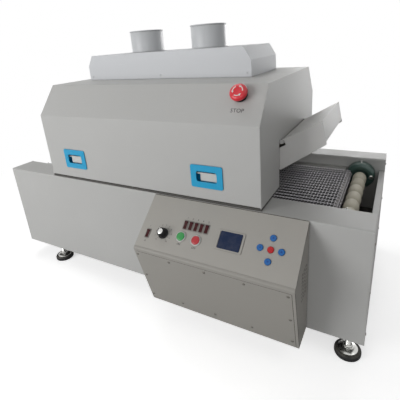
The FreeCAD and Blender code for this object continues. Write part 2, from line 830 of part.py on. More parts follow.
# display: a framed window let into the panel
through.append(panel_hole(rounded_block(lcd_width, lcd_height, 2 * deep_cut, 1), lcd_at))
lcd_frame = rounded_block(lcd_width + 2 * lcd_border, lcd_height + 2 * lcd_border, lcd_proud, 2)
lcd_glass = at(rounded_block(lcd_width, lcd_height, lcd_deep, 1), 0, 0, -lcd_deep)
lcd_recess = at(rounded_block(lcd_width - lcd_border, lcd_height - lcd_border, lcd_sunk + past, 1),
                0, 0, lcd_proud - lcd_sunk)
keep("lcd_module", on_face(lcd_frame.fuse(lcd_glass).cut(lcd_recess).removeSplitter(), lcd_at))

# five round keys in a cross
kx, kv = key_at
keys = {"key_up": (kx, kv - key_step_v), "key_down": (kx, kv + key_step_v), "key_left": (kx - key_step_x, kv),
        "key_right": (kx + key_step_x, kv), "key_enter": (kx, kv)}
for name in keys:
    through.append(panel_hole(Part.makeCylinder(key_radius + run_clearance, 2 * deep_cut), keys[name]))
    cap = turned([(0, -key_stem), (key_radius + key_rim, -key_stem), (key_radius + key_rim, 1.5 - key_stem),
                  (key_radius, 1.5 - key_stem), (key_radius, key_proud - 0.8), (key_radius - 0.8, key_proud),
                  (0, key_proud)])
    keep(name, on_face(cap, keys[name]))
flat_panel = placed(control_panel.cut(Part.makeCompound(through)), panel_turn)
behind = box(console_left - past, console_right + past, 0, console_reach, console_nose_z, base_height + past)
keep("control_panel", flat_panel.cut(behind))

# seal strip on the rims under the hood
seal_front = box(hood_left, hood_right, hood_set_in, hood_set_in + seal_width,
                 base_height, base_height + seal_height)
seal_back = box(hood_left, hood_right, base_depth - hood_set_in - seal_width, base_depth - hood_set_in,
                base_height, base_height + seal_height)
strips = [seal_front, seal_back]
for x in (hood_left, hood_right - seal_width):
    strips.append(box(x, x + seal_width, hood_set_in + seal_width, front_rim - seal_trough_gap,
                      base_height, base_height + seal_height))
    strips.append(box(x, x + seal_width, rear_wall_y + seal_trough_gap, base_depth - hood_set_in - seal_width,
                      base_height, base_height + seal_height))
keep("hood_seal", strips[0].fuse([strips[2], strips[4]]), strips[1].fuse([strips[3], strips[5]]))

# hood: one sheet folded over front, slant, top, slant and back, with returns along its bottom edges
outline = [(hood_set_in, hood_bottom), (hood_set_in, hood_break_z), (hood_top_set_in, hood_top_z),
           (top_rear, hood_top_z), (hood_rear, hood_break_z), (hood_rear, hood_bottom)]
hood_path = [(hood_set_in + hood_return, hood_bottom)] + outline + [(hood_rear - hood_return, hood_bottom)]
hood_shell = along_x(lambda p: folded_face(hood_path[::-1], sheet, bend, p),
                     hood_left + sheet, hood_right - sheet)
cup_w = latch_width - 2 * latch_border
cup_h = latch_height - 2 * latch_border
for x in latch_xs:
    hood_shell = hood_shell.cut(box(x - cup_w / 2, x + cup_w / 2,
                                    hood_set_in - past, hood_set_in + sheet + past,
                                    latch_z - cup_h / 2, latch_z + cup_h / 2))
for x in collar_xs:
    hood_shell = hood_shell.cut(rod(collar_radius - vent_hole_inset,
                                    vec(x, collar_y, hood_top_z - sheet - past),
                                    vec(x, collar_y, hood_top_z + past)))
slant = math.hypot(hood_top_set_in - hood_set_in, hood_top_z - hood_break_z)
slant_y = (hood_top_set_in - hood_set_in) / slant
slant_z = (hood_top_z - hood_break_z) / slant
slant_turn = FreeCAD.Matrix(1, 0, 0, hood_right - estop_inset,
                            0, slant_y, -slant_z, hood_set_in + slant_y * estop_up,
                            0, slant_z, slant_y, hood_break_z + slant_z * estop_up,
                            0, 0, 0, 1)
estop_hole = Part.makeCylinder(estop_thread + run_clearance, 2 * (sheet + past), vec(0, 0, -sheet - past))
hood_shell = hood_shell.cut(placed(estop_hole, slant_turn))
keep("hood_shell", hood_shell)

# hood end plates, each with an open mouth over the belt and lugs that hold the flap pin
lug_gap = 2 * run_clearance
for name, face_x, side in (("hood_end_outlet", hood_right, 1), ("hood_end_inlet", hood_left, -1)):
    x0 = min(face_x, face_x - side * sheet)
    plate = along_x(lambda p: rounded_face(outline, [0, bend, bend, bend, bend, 0], p), x0, x0 + sheet)
    plate = plate.cut(box(x0 - past, x0 + sheet + past, mouth_front, mouth_back,
                          hood_bottom - past, mouth_top))
    pin_x = face_x + side * flap_pin_out
    for y0 in (flap_front - lug_gap - flap_lug, flap_back + lug_gap):
        arm = box(min(face_x, pin_x), max(face_x, pin_x), y0, y0 + flap_lug,
                  flap_pin_z - flap_eye, flap_pin_z + flap_eye)
        eye = rod(flap_eye, vec(pin_x, y0, flap_pin_z), vec(pin_x, y0 + flap_lug, flap_pin_z))
        plate = plate.fuse(arm).fuse(eye)
    pin = rod(flap_pin_radius, vec(pin_x, flap_front - lug_gap - flap_lug, flap_pin_z),
              vec(pin_x, flap_back + lug_gap + flap_lug, flap_pin_z))
    keep(name, plate.fuse(pin).removeSplitter())


# flap: a shallow cover with a leaning end lip and side cheeks that run back into the mouth,
# rolled round its pin. Made level, then turned.
def flap():
    roll = flap_pin_radius + run_clearance + flap_sheet
    neck = roll + 1
    low_x = flap_length - flap_lip_lean
    cheek_path = [(neck, roll), (neck, roll - flap_neck), (-flap_shoulder, roll - flap_neck),
                  (-flap_cheek_back, roll - flap_cheek),
                  (low_x - flap_cheek_drop / 3, roll - flap_lip - flap_cheek_drop), (flap_length, roll)]
    cheek_rounds = [0, bend, bend, 2 * bend, 2 * bend, 0]
    cover = box(0, flap_length - flap_sheet, flap_front, flap_back, roll - flap_sheet, roll)
    lip_path = [(flap_length - flap_sheet, roll), (low_x - flap_sheet, roll - flap_lip),
                (low_x, roll - flap_lip), (flap_length, roll)]
    cover = cover.fuse(along_y(lambda p: rounded_face(lip_path, [0] * 4, p), flap_front, flap_back))
    for y0 in (flap_front, flap_back - flap_sheet):
        cheek = along_y(lambda p: rounded_face(cheek_path, cheek_rounds, p), y0, y0 + flap_sheet)
        cover = cover.fuse(cheek)
    cover = cover.fuse(rod(roll, vec(0, flap_front, 0), vec(0, flap_back, 0)))
    eye = rod(flap_pin_radius + run_clearance, vec(0, flap_front - past, 0), vec(0, flap_back + past, 0))
    return cover.cut(eye).removeSplitter()


outlet = flap()
outlet.rotate(vec(0, 0, 0), vec(0, 1, 0), -outlet_flap_rise)
outlet.translate(vec(hood_right + flap_pin_out, 0, flap_pin_z))
keep("outlet_flap", outlet)
inlet = flap().mirror(vec(0, 0, 0), vec(1, 0, 0))
inlet.rotate(vec(0, 0, 0), vec(0, 1, 0), -90)
inlet.translate(vec(hood_left - flap_pin_out, 0, flap_pin_z))
keep("inlet_flap", inlet)

# inner tunnel cover and the upper radiant tubes that hang between its walls
shell_in = hood_set_in + sheet
liner_path = [(shell_in, liner_flange_z), (liner_front, liner_flange_z), (liner_front, liner_top),
              (liner_back, liner_top), (liner_back, liner_flange_z), (base_depth - shell_in, liner_flange_z)]
keep("hood_liner", along_x(lambda p: folded_face(liner_path, sheet, bend, p), liner_left, liner_right))
upper_tubes = []
for x in heater_xs:
    start = vec(x, liner_front, upper_heater_z)
    upper_tubes.append(rod(heater_radius, start, vec(x, liner_back, upper_heater_z)))
keep("upper_heaters", *upper_tubes)

# exhaust box with sloped ends, open below, and two duct collars that each carry a fan spider
ends = [(exhaust_left, hood_top_z), (exhaust_right, hood_top_z), (exhaust_right, exhaust_shoulder_z),
        (exhaust_right - exhaust_chamfer, exhaust_top_z), (exhaust_left + exhaust_chamfer, exhaust_top_z),
        (exhaust_left, exhaust_shoulder_z)]
lean_in = sheet * math.tan(0.5 * math.atan2(exhaust_chamfer, exhaust_top_z - exhaust_shoulder_z))
step_in = exhaust_chamfer + sheet * 0.6
hollow_ends = [(exhaust_left + sheet, hood_top_z - past), (exhaust_right - sheet, hood_top_z - past),
               (exhaust_right - sheet, exhaust_shoulder_z - lean_in),
               (exhaust_right - step_in, exhaust_top_z - sheet),
               (exhaust_left + step_in, exhaust_top_z - sheet),
               (exhaust_left + sheet, exhaust_shoulder_z - lean_in)]
exhaust = along_y(lambda p: rounded_face(ends, [0, 0, bend, bend, bend, bend], p),
                  exhaust_front, exhaust_back)
cavity = along_y(lambda p: rounded_face(hollow_ends, [0] * 6, p), exhaust_front + sheet, exhaust_back - sheet)
exhaust = exhaust.cut(cavity)
collars = []
for x in collar_xs:
    exhaust = exhaust.cut(rod(collar_in, vec(x, collar_y, exhaust_top_z - sheet - past),
                              vec(x, collar_y, exhaust_top_z + past)))
    tube = turned([(collar_in, 0), (collar_radius, 0), (collar_radius, collar_height),
                   (collar_in, collar_height)])
    spider = at(Part.makeCylinder(fan_hub_radius, spider_thick), 0, 0, spider_rise)
    for k in range(3):
        arm = box(0, collar_in + collar_wall / 2, -spider_arm / 2, spider_arm / 2,
                  spider_rise, spider_rise + spider_thick)
        arm.rotate(vec(0, 0, 0), vec(0, 0, 1), 120 * k + 30)
        spider = spider.fuse(arm)
    collars.append(at(tube.fuse(spider).removeSplitter(), x, collar_y, exhaust_top_z))
keep("exhaust_box", exhaust)
keep("exhaust_collars", *collars)


# fan rotor: a hub with pitched blades between two straight edges turned against each other
def fan():
    hub = turned([(0, 0), (fan_hub_radius, 0), (fan_hub_radius, fan_hub_height - fan_hub_edge),
                  (fan_hub_radius - fan_hub_edge, fan_hub_height), (0, fan_hub_height)])
    tip = collar_in - fan_tip_gap
    mid = fan_hub_height / 2
    sections = []
    for radius, pitch, chord in ((fan_hub_radius - fan_hub_edge, fan_root_pitch, fan_root_chord),
                                 (tip, fan_tip_pitch, fan_tip_chord)):
        c = chord / 2 * math.cos(math.radians(pitch))
        s = chord / 2 * math.sin(math.radians(pitch))
        low = vec(radius, -c, mid - s)
        high = vec(radius, c, mid + s)
        thick = vec(0, 0, fan_blade_thick)
        sections.append(Part.makePolygon([low, high, high + thick, low + thick, low]))
    blade = Part.makeLoft(sections, True, True)
    rotor = hub
    for k in range(fan_blades):
        turned_blade = blade.copy()
        turned_blade.rotate(vec(0, 0, 0), vec(0, 0, 1), 360 / fan_blades * k)
        rotor = rotor.fuse(turned_blade)
    limit = Part.makeCylinder(tip, 3 * fan_hub_height, vec(0, 0, -fan_hub_height))
    return rotor.common(limit)


rotor = fan()
fan_z = exhaust_top_z + spider_rise + spider_thick + run_clearance
keep("fan_rotor_left", at(rotor, collar_xs[0], collar_y, fan_z))
keep("fan_rotor_right", at(rotor, collar_xs[1], collar_y, fan_z))

# emergency stop: fixed collar and a mushroom head on a sliding stem
stem_bore = estop_stem + run_clearance
collar = turned([(stem_bore, -estop_deep), (estop_thread, -estop_deep), (estop_thread, 0),
                 (estop_collar_radius, 0), (estop_collar_radius, estop_collar_height - 2),
                 (estop_collar_radius - 2, estop_collar_height),
                 (stem_bore, estop_collar_height)])
keep("estop_collar", placed(collar, slant_turn))
head_low = estop_collar_height + estop_travel + run_clearance
rim_top = head_low + estop_rim
ball = (estop_radius ** 2 + estop_dome ** 2) / (2 * estop_dome)
ball_z = rim_top + estop_dome - ball
drum = Part.makeCylinder(estop_radius, estop_rim + estop_dome, vec(0, 0, head_low))
head = drum.common(Part.makeSphere(ball, vec(0, 0, ball_z)))
estop_rod = Part.makeCylinder(estop_stem, head_low + estop_deep - 2, vec(0, 0, 2 - estop_deep))
head = head.fuse(estop_rod).removeSplitter()
keep("estop_head", placed(head, slant_turn))

# pull latches: a cup let into the hood front behind a plate with a narrow window, and a paddle hung on an
# axle behind the window's upper half, which leaves a finger gap at the left
face_turn = FreeCAD.Matrix(1, 0, 0, 0,
                           0, 0, -1, 0,
                           0, 1, 0, 0,
                           0, 0, 0, 1)
cups = []
well_w = cup_w - 2 * latch_wall
well_h = cup_h - 2 * latch_wall
for name, x in (("latch_paddle_left", latch_xs[0]), ("latch_paddle_right", latch_xs[1])):
    rim = rounded_block(latch_width, latch_height, latch_proud, 6)
    cup = at(rounded_block(cup_w, cup_h, latch_depth + latch_wall, 3), 0, 0, -latch_depth - latch_wall)
    well = at(rounded_block(well_w, well_h, latch_depth, 2), 0, 0, -latch_depth)
    window = rounded_block(latch_window_width, latch_window_height, latch_proud + 2 * past, latch_window_corner)
    window = at(window, 0, 0, -past)
    cup = rim.fuse(cup).cut(well.fuse(window)).removeSplitter()
    cups.append(at(placed(cup, face_turn), x, hood_set_in, latch_z))
    blade = at(rounded_block(latch_window_width - paddle_left_gap - paddle_right_gap, paddle_height,
                             paddle_thick, 1.5),
               (paddle_left_gap - paddle_right_gap) / 2, paddle_axle_rise - paddle_height / 2 + paddle_axle,
               -latch_axle_deep - paddle_thick / 2)
    axle = rod(paddle_axle, vec(run_clearance - well_w / 2, paddle_axle_rise, -latch_axle_deep),
               vec(well_w / 2 - run_clearance, paddle_axle_rise, -latch_axle_deep))
    keep(name, at(placed(blade.fuse(axle).removeSplitter(), face_turn), x, hood_set_in, latch_z))
keep("latch_housings", *cups)

# rear hinges: base leaf with two outer knuckles and the pin, hood leaf with the middle knuckle
axis_y = base_depth + hinge_out
axis_z = (base_height + hood_bottom) / 2
third = hinge_length / 3
base_leaves = []
hood_leaves = []
for x in hinge_xs:
    low = x - hinge_length / 2
    leaf = box(low, low + hinge_length, base_depth, base_depth + hinge_leaf,
               axis_z - hinge_neck - hinge_leaf_height, axis_z - hinge_neck)
    pin = rod(hinge_pin, vec(low, axis_y, axis_z), vec(low + hinge_length, axis_y, axis_z))
    leaf = leaf.fuse(pin)
    for k in (0, 2):
        a = low + k * third
        neck = box(a, a + third, base_depth, axis_y, axis_z - hinge_neck, axis_z - hinge_pin)
        knuckle = rod(hinge_barrel, vec(a, axis_y, axis_z), vec(a + third, axis_y, axis_z))
        leaf = leaf.fuse(neck).fuse(knuckle)
    base_leaves.append(leaf.removeSplitter())
    a = low + third + run_clearance
    b = low + 2 * third - run_clearance
    plate = box(low, low + hinge_length, hood_rear, hood_rear + hinge_leaf,
                axis_z + hinge_neck, axis_z + hinge_neck + hinge_leaf_height)
    neck = box(a, b, hood_rear, axis_y, axis_z + hinge_pin, axis_z + hinge_neck)
    knuckle = rod(hinge_barrel, vec(a, axis_y, axis_z), vec(b, axis_y, axis_z))
    plate = plate.fuse(neck).fuse(knuckle)
    hole = rod(hinge_pin + run_clearance, vec(low, axis_y, axis_z), vec(low + hinge_length, axis_y, axis_z))
    hood_leaves.append(plate.cut(hole).removeSplitter())
keep("base_hinges", *base_leaves)
keep("hood_hinges", *hood_leaves)

# supply cable gland on the back wall
gland = turned([(gland_bore, 0), (gland_radius, 0), (gland_radius, gland_flange),
                (gland_radius - 2, gland_flange + 2), (gland_radius - 2, gland_reach - 6),
                (gland_radius - 6, gland_reach), (gland_bore, gland_reach)])
gland.rotate(vec(0, 0, 0), vec(1, 0, 0), -90)
keep("power_inlet", at(gland, gland_setback - half_length, base_depth, gland_rise))

# origin under the middle of the whole box, on the plane of the foot pads
everything = Part.makeCompound(list(nodes.values())).BoundBox
middle = everything.Center
shift = vec(-middle.x, -middle.y, -everything.ZMin)
for name in nodes:
    solid = nodes[name]
    solid.translate(shift)
    solid.exportStep("parts/" + name + ".step")
print("pieces", len(nodes))
print("shift", round(shift.x, 4), round(shift.y, 4), round(shift.z, 4))
print("size", round(everything.XLength, 2), round(everything.YLength, 2), round(everything.ZLength, 2))
for name in nodes:
    for solid in nodes[name].Solids:
        if not solid.isValid():
            print("not valid", name)
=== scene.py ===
import bmesh
import bpy
import math
import numpy as np
from mathutils import Matrix, Vector


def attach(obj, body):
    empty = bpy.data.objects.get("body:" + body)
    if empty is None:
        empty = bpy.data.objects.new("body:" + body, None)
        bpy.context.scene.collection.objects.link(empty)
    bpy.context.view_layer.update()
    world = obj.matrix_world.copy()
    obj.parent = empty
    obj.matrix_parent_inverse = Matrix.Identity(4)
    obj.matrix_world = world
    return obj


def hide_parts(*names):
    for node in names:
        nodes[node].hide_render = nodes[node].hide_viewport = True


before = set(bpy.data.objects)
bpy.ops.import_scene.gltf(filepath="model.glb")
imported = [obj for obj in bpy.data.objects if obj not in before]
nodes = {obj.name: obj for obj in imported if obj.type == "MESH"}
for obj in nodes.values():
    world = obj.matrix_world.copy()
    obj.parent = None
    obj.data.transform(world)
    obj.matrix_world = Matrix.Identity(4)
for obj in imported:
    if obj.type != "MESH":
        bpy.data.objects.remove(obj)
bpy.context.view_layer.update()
print("frame loaded:", len(nodes), "solids")

# every shape is in millimetres: x from the middle, d back from the base's front wall, h up from its underside
frontWall = -258.9746
underside = 75.0


def toMetres(points):  # from the shapes' own frame to the scene's
    return (np.asarray(points, float) + (0.0, frontWall, underside)) / 1000.0


def tone(r, g, b):  # a screen colour, 0 to 255, as linear light
    c = np.array([r, g, b]) / 255.0
    c = np.where(c <= 0.04045, c / 12.92, ((c + 0.055) / 1.055) ** 2.4)
    return (float(c[0]), float(c[1]), float(c[2]), 1.0)


# the camera stands right of the middle, a little above the hood, and looks back to the left
lens = {"place": (734.89, -816.58, 823.85), "pan": 30.0165, "tilt": -19.112, "roll": 4.3618, "sensor": 36.0,
        "focal": 340.2, "picture": 400.0, "shift": (-0.013, -0.098)}  # focal length in pixels of that picture


def setCamera():
    data = bpy.data.cameras.new("camera")
    data.sensor_width = lens["sensor"]
    data.lens = lens["focal"] * lens["sensor"] / lens["picture"]
    data.shift_x, data.shift_y = lens["shift"]
    data.clip_start, data.clip_end = 0.01, 60.0
    pan, tilt, roll = (Matrix.Rotation(math.radians(lens[key]), 3, axis)
                       for key, axis in (("pan", "Z"), ("tilt", "X"), ("roll", "Y")))
    right, ahead, up = (pan @ tilt @ roll).col
    pose = Matrix((right, up, -ahead)).transposed().to_4x4()  # a camera looks along its -Z
    pose.translation = Vector(toMetres(lens["place"]))
    camera = bpy.data.objects.new("camera", data)
    camera.matrix_world = pose
    bpy.context.scene.collection.objects.link(camera)
    bpy.context.scene.camera = camera


setCamera()
print("camera set")


# small node helpers
def newGroup(name, inputs, outputs):  # every group also takes Where, the point that its patterns are read at
    group = bpy.data.node_groups.new(name, "ShaderNodeTree")
    for kind, label, value in [("Vector", "Where", (0, 0, 0))] + inputs:
        socket = group.interface.new_socket(label, in_out="INPUT", socket_type="NodeSocket" + kind)
        socket.default_value = value
    for kind, label in outputs:
        group.interface.new_socket(label, in_out="OUTPUT", socket_type="NodeSocket" + kind)
    return group, group.nodes.new("NodeGroupInput").outputs, group.nodes.new("NodeGroupOutput").inputs


def add(tree, kind, **values):
    node = tree.nodes.new(kind)
    for key, value in values.items():
        setattr(node, key, value)
    return node


def feed(tree, source, target):  # a socket, or a plain number or colour, into an input
    if hasattr(source, "is_output"):
        tree.links.new(source, target)
    else:
        target.default_value = source


def maths(tree, operation, *values):
    node = add(tree, "ShaderNodeMath", operation=operation)
    for value, target in zip(values, node.inputs):
        feed(tree, value, target)
    return node.outputs[0]


def product(tree, first, *others):
    for other in others:
        first = maths(tree, "MULTIPLY", first, other)
    return first


def span(tree, value, low, high, outLow=0.0):  # low to high becomes outLow to one, clamped
    node = add(tree, "ShaderNodeMapRange", clamp=True)
    for key, source in (("Value", value), ("From Min", low), ("From Max", high), ("To Min", outLow)):
        feed(tree, source, node.inputs[key])
    return node.outputs[0]


def mix(tree, share, a, b, mode="MIX"):  # a Mix node's colours are its inputs 6 and 7
    node = add(tree, "ShaderNodeMix", data_type="RGBA", blend_type=mode)
    for place, source in ((0, share), (6, a), (7, b)):
        feed(tree, source, node.inputs[place])
    return node.outputs[2]


def noise(tree, vector, scale, detail=3.0, rough=0.55):
    node = add(tree, "ShaderNodeTexNoise")
    for key, source in (("Vector", vector), ("Scale", scale), ("Detail", detail), ("Roughness", rough)):
        feed(tree, source, node.inputs[key])
    return node.outputs["Fac"]


def stretched(tree, vector, scale):
    node = add(tree, "ShaderNodeMapping")
    feed(tree, vector, node.inputs["Vector"])
    feed(tree, scale, node.inputs["Scale"])
    return node.outputs["Vector"]


def use(tree, group, **values):
    node = add(tree, "ShaderNodeGroup", node_tree=group)
    for key, value in values.items():
        feed(tree, value, node.inputs[key])
    return node.outputs


def bump(tree, height, strength, distance, normal=None):
    node = add(tree, "ShaderNodeBump")
    for key, source in (("Height", height), ("Strength", strength), ("Distance", distance),
                        ("Normal", normal)):
        if source is not None:
            feed(tree, source, node.inputs[key])
    return node.outputs[0]


# shader groups, all read in Object coordinates
midGrey = (0.5, 0.5, 0.5, 1)
# the second colour is painted shade for corners, slots and joints
dustColour, paintedShadeColour = tone(186, 181, 170), tone(58, 56, 52)


def makePaintSkin():  # faint mottling of a colour, orange-peel grain and the slow waviness of pressed sheet
    g, given, out = newGroup("paintSkin", [("Color", "Colour", midGrey), ("Float", "Mottle", 0.06),
                                           ("Float", "Rough", 0.42)],
                             [("Color", "Colour"), ("Float", "Rough"), ("Float", "Height")])
    where = given["Where"]
    slow = maths(g, "SUBTRACT", noise(g, where, scale=3.2, detail=4.0, rough=0.6), 0.5)
    shade = maths(g, "MULTIPLY_ADD", slow, given["Mottle"], 1.0)
    tint = add(g, "ShaderNodeCombineColor")
    for channel in range(3):
        feed(g, shade, tint.inputs[channel])
    feed(g, mix(g, 1.0, given["Colour"], tint.outputs[0], "MULTIPLY"), out["Colour"])
    feed(g, maths(g, "MULTIPLY_ADD", slow, 0.16, given["Rough"]), out["Rough"])
    peel, waves = noise(g, where, scale=620.0, detail=2.0), noise(g, where, scale=5.5, detail=1.0)
    feed(g, maths(g, "MULTIPLY_ADD", peel, 0.05, waves), out["Height"])
    return g


def makeDustFilm():  # a pale film where a surface looks up, broken by noise
    g, given, out = newGroup("dustFilm", [("Color", "Colour", midGrey), ("Float", "Amount", 0.2)],
                             [("Color", "Colour"), ("Float", "Mask")])
    facing = add(g, "ShaderNodeSeparateXYZ")
    feed(g, add(g, "ShaderNodeNewGeometry").outputs["Normal"], facing.inputs[0])
    upward = span(g, facing.outputs["Z"], low=0.25, high=0.95)
    patch = span(g, noise(g, given["Where"], scale=26.0, detail=5.0, rough=0.65), low=0.38, high=0.68)
    mask = product(g, upward, patch, given["Amount"])
    feed(g, mix(g, mask, given["Colour"], dustColour), out["Colour"])
    feed(g, mask, out["Mask"])
    return g


def makeRubMarks():  # stray scratches, upright and level, in a few zones, as a mask
    g, given, out = newGroup("rubMarks", [("Float", "Amount", 0.5)], [("Float", "Mask")])
    upright, level = (noise(g, stretched(g, given["Where"], scale), scale=1.0, detail=2.0)
                      for scale in ((260, 260, 9), (7, 240, 240)))
    either = maths(g, "MAXIMUM", span(g, upright, low=0.66, high=0.74), span(g, level, low=0.68, high=0.76))
    zone = span(g, noise(g, given["Where"], scale=7.0), low=0.52, high=0.7)
    feed(g, product(g, either, zone, given["Amount"]), out["Mask"])
    return g


def makeEdgeWear():  # edges and folds, where a rounded normal leaves the true one, broken by noise; the mask pales paint as wear and as a painted edge highlight
    g, given, out = newGroup("edgeWearAndHighlight", [("Float", "Width", 0.0015), ("Float", "Amount", 0.5)],
                             [("Float", "Mask"), ("Vector", "Normal")])
    soft = add(g, "ShaderNodeBevel", samples=4)
    feed(g, given["Width"], soft.inputs["Radius"])
    apart = add(g, "ShaderNodeVectorMath", operation="DOT_PRODUCT")
    feed(g, soft.outputs[0], apart.inputs[0])
    feed(g, add(g, "ShaderNodeNewGeometry").outputs["Normal"], apart.inputs[1])
    edge = span(g, apart.outputs["Value"], low=0.995, high=0.8)
    broken = span(g, noise(g, given["Where"], scale=60.0, detail=4.0), low=0.3, high=0.65)
    feed(g, product(g, edge, broken, given["Amount"]), out["Mask"])
    feed(g, soft.outputs[0], out["Normal"])
    return g


def makeDrawLines():  # streaks along X that change the gloss of bare steel
    g, given, out = newGroup("drawLines", [("Float", "Rough", 0.3)],
                             [("Float", "Rough"), ("Float", "Height")])
    streak = noise(g, stretched(g, given["Where"], (12, 900, 900)), scale=1.0)
    uneven = maths(g, "SUBTRACT", streak, 0.5)
    feed(g, maths(g, "MULTIPLY_ADD", uneven, 0.3, given["Rough"]), out["Rough"])
    feed(g, streak, out["Height"])
    return g


def makeCornerGrime():  # painted shade in slots and inside corners, where another face stands within a short reach
    g, given, out = newGroup("paintedCornerShade", [("Float", "Reach", 0.006), ("Float", "Amount", 0.5)],
                             [("Float", "Mask")])
    sky = add(g, "ShaderNodeAmbientOcclusion", samples=6)
    feed(g, given["Reach"], sky.inputs["Distance"])
    shut = span(g, sky.outputs["AO"], low=0.85, high=0.35)
    broken = span(g, noise(g, given["Where"], scale=45.0), low=0.25, high=0.6, outLow=0.6)
    feed(g, product(g, shut, broken, given["Amount"]), out["Mask"])
    return g


paintSkin, dustFilm, rubMarks = makePaintSkin(), makeDustFilm(), makeRubMarks()
edgeWearAndHighlight, drawLines, paintedCornerShade = makeEdgeWear(), makeDrawLines(), makeCornerGrime()
print("shader groups ready")


# finishes
def newFinish(name, metallic=0.0, specular=0.5, coat=0.0):
    mat = bpy.data.materials.new(name)
    mat.use_nodes = True
    tree = mat.node_tree
    tree.nodes.clear()
    skin = add(tree, "ShaderNodeBsdfPrincipled")
    feed(tree, skin.outputs[0], add(tree, "ShaderNodeOutputMaterial").inputs["Surface"])
    for key, value in (("Metallic", metallic), ("Specular IOR Level", specular), ("Coat Weight", coat),
                       ("Coat Roughness", 0.1)):
        skin.inputs[key].default_value = value
    return mat, tree, skin.inputs, add(tree, "ShaderNodeTexCoord").outputs["Object"]


def paint(name, colour, rough=0.46, dust=0.12, rubs=0.3, mottle=0.07, wave=0.0012, edge=0.35, cornerShade=0.6):
    mat, tree, skin, where = newFinish(name, specular=0.35)
    coat = use(tree, paintSkin, Where=where, Colour=colour, Mottle=mottle, Rough=rough)
    film = use(tree, dustFilm, Where=where, Colour=coat["Colour"], Amount=dust)
    pale = tuple(min(1.0, 1.3 * c) for c in colour[:3]) + (1.0,)  # rubbed paint and the painted edge highlight are a third paler
    wornAndLitEdges = use(tree, edgeWearAndHighlight, Where=where, Width=0.0018, Amount=edge)
    marks = maths(tree, "MAXIMUM", use(tree, rubMarks, Where=where, Amount=rubs)["Mask"], wornAndLitEdges["Mask"])
    # corners, slots and joints darken towards painted shade
    paintedShade = use(tree, paintedCornerShade, Where=where, Reach=0.006, Amount=cornerShade)["Mask"]
    feed(tree, mix(tree, paintedShade, mix(tree, marks, film["Colour"], pale), paintedShadeColour), skin["Base Color"])
    dull = maths(tree, "MULTIPLY_ADD", film["Mask"], 0.5, coat["Rough"])  # dust takes off the gloss
    feed(tree, dull, skin["Roughness"])
    uneven = bump(tree, coat["Height"], strength=0.5, distance=wave, normal=wornAndLitEdges["Normal"])
    feed(tree, uneven, skin["Normal"])
    return mat


def moulded(name, colour, rough=0.35, coat=0.0, grain=420.0, rise=0.00008, dust=0.1, mottle=0.1,
            specular=0.4):
    mat, tree, skin, where = newFinish(name, specular=specular, coat=coat)
    tint = use(tree, paintSkin, Where=where, Colour=colour, Mottle=mottle, Rough=rough)
    film = use(tree, dustFilm, Where=where, Colour=tint["Colour"], Amount=dust)
    feed(tree, film["Colour"], skin["Base Color"])
    feed(tree, tint["Rough"], skin["Roughness"])
    soft = use(tree, edgeWearAndHighlight, Where=where, Width=0.0009, Amount=0.0)["Normal"]
    pits = noise(tree, where, scale=grain, detail=2.0)
    feed(tree, bump(tree, pits, strength=0.4, distance=rise, normal=soft), skin["Normal"])
    return mat


def steel(name, colour, rough=0.32, dust=0.1):
    mat, tree, skin, where = newFinish(name, metallic=1.0)
    lines = use(tree, drawLines, Where=where, Rough=rough)
    film = use(tree, dustFilm, Where=where, Colour=colour, Amount=dust)
    feed(tree, film["Colour"], skin["Base Color"])
    feed(tree, lines["Rough"], skin["Roughness"])
    feed(tree, bump(tree, lines["Height"], strength=0.25, distance=0.0001), skin["Normal"])
    return mat


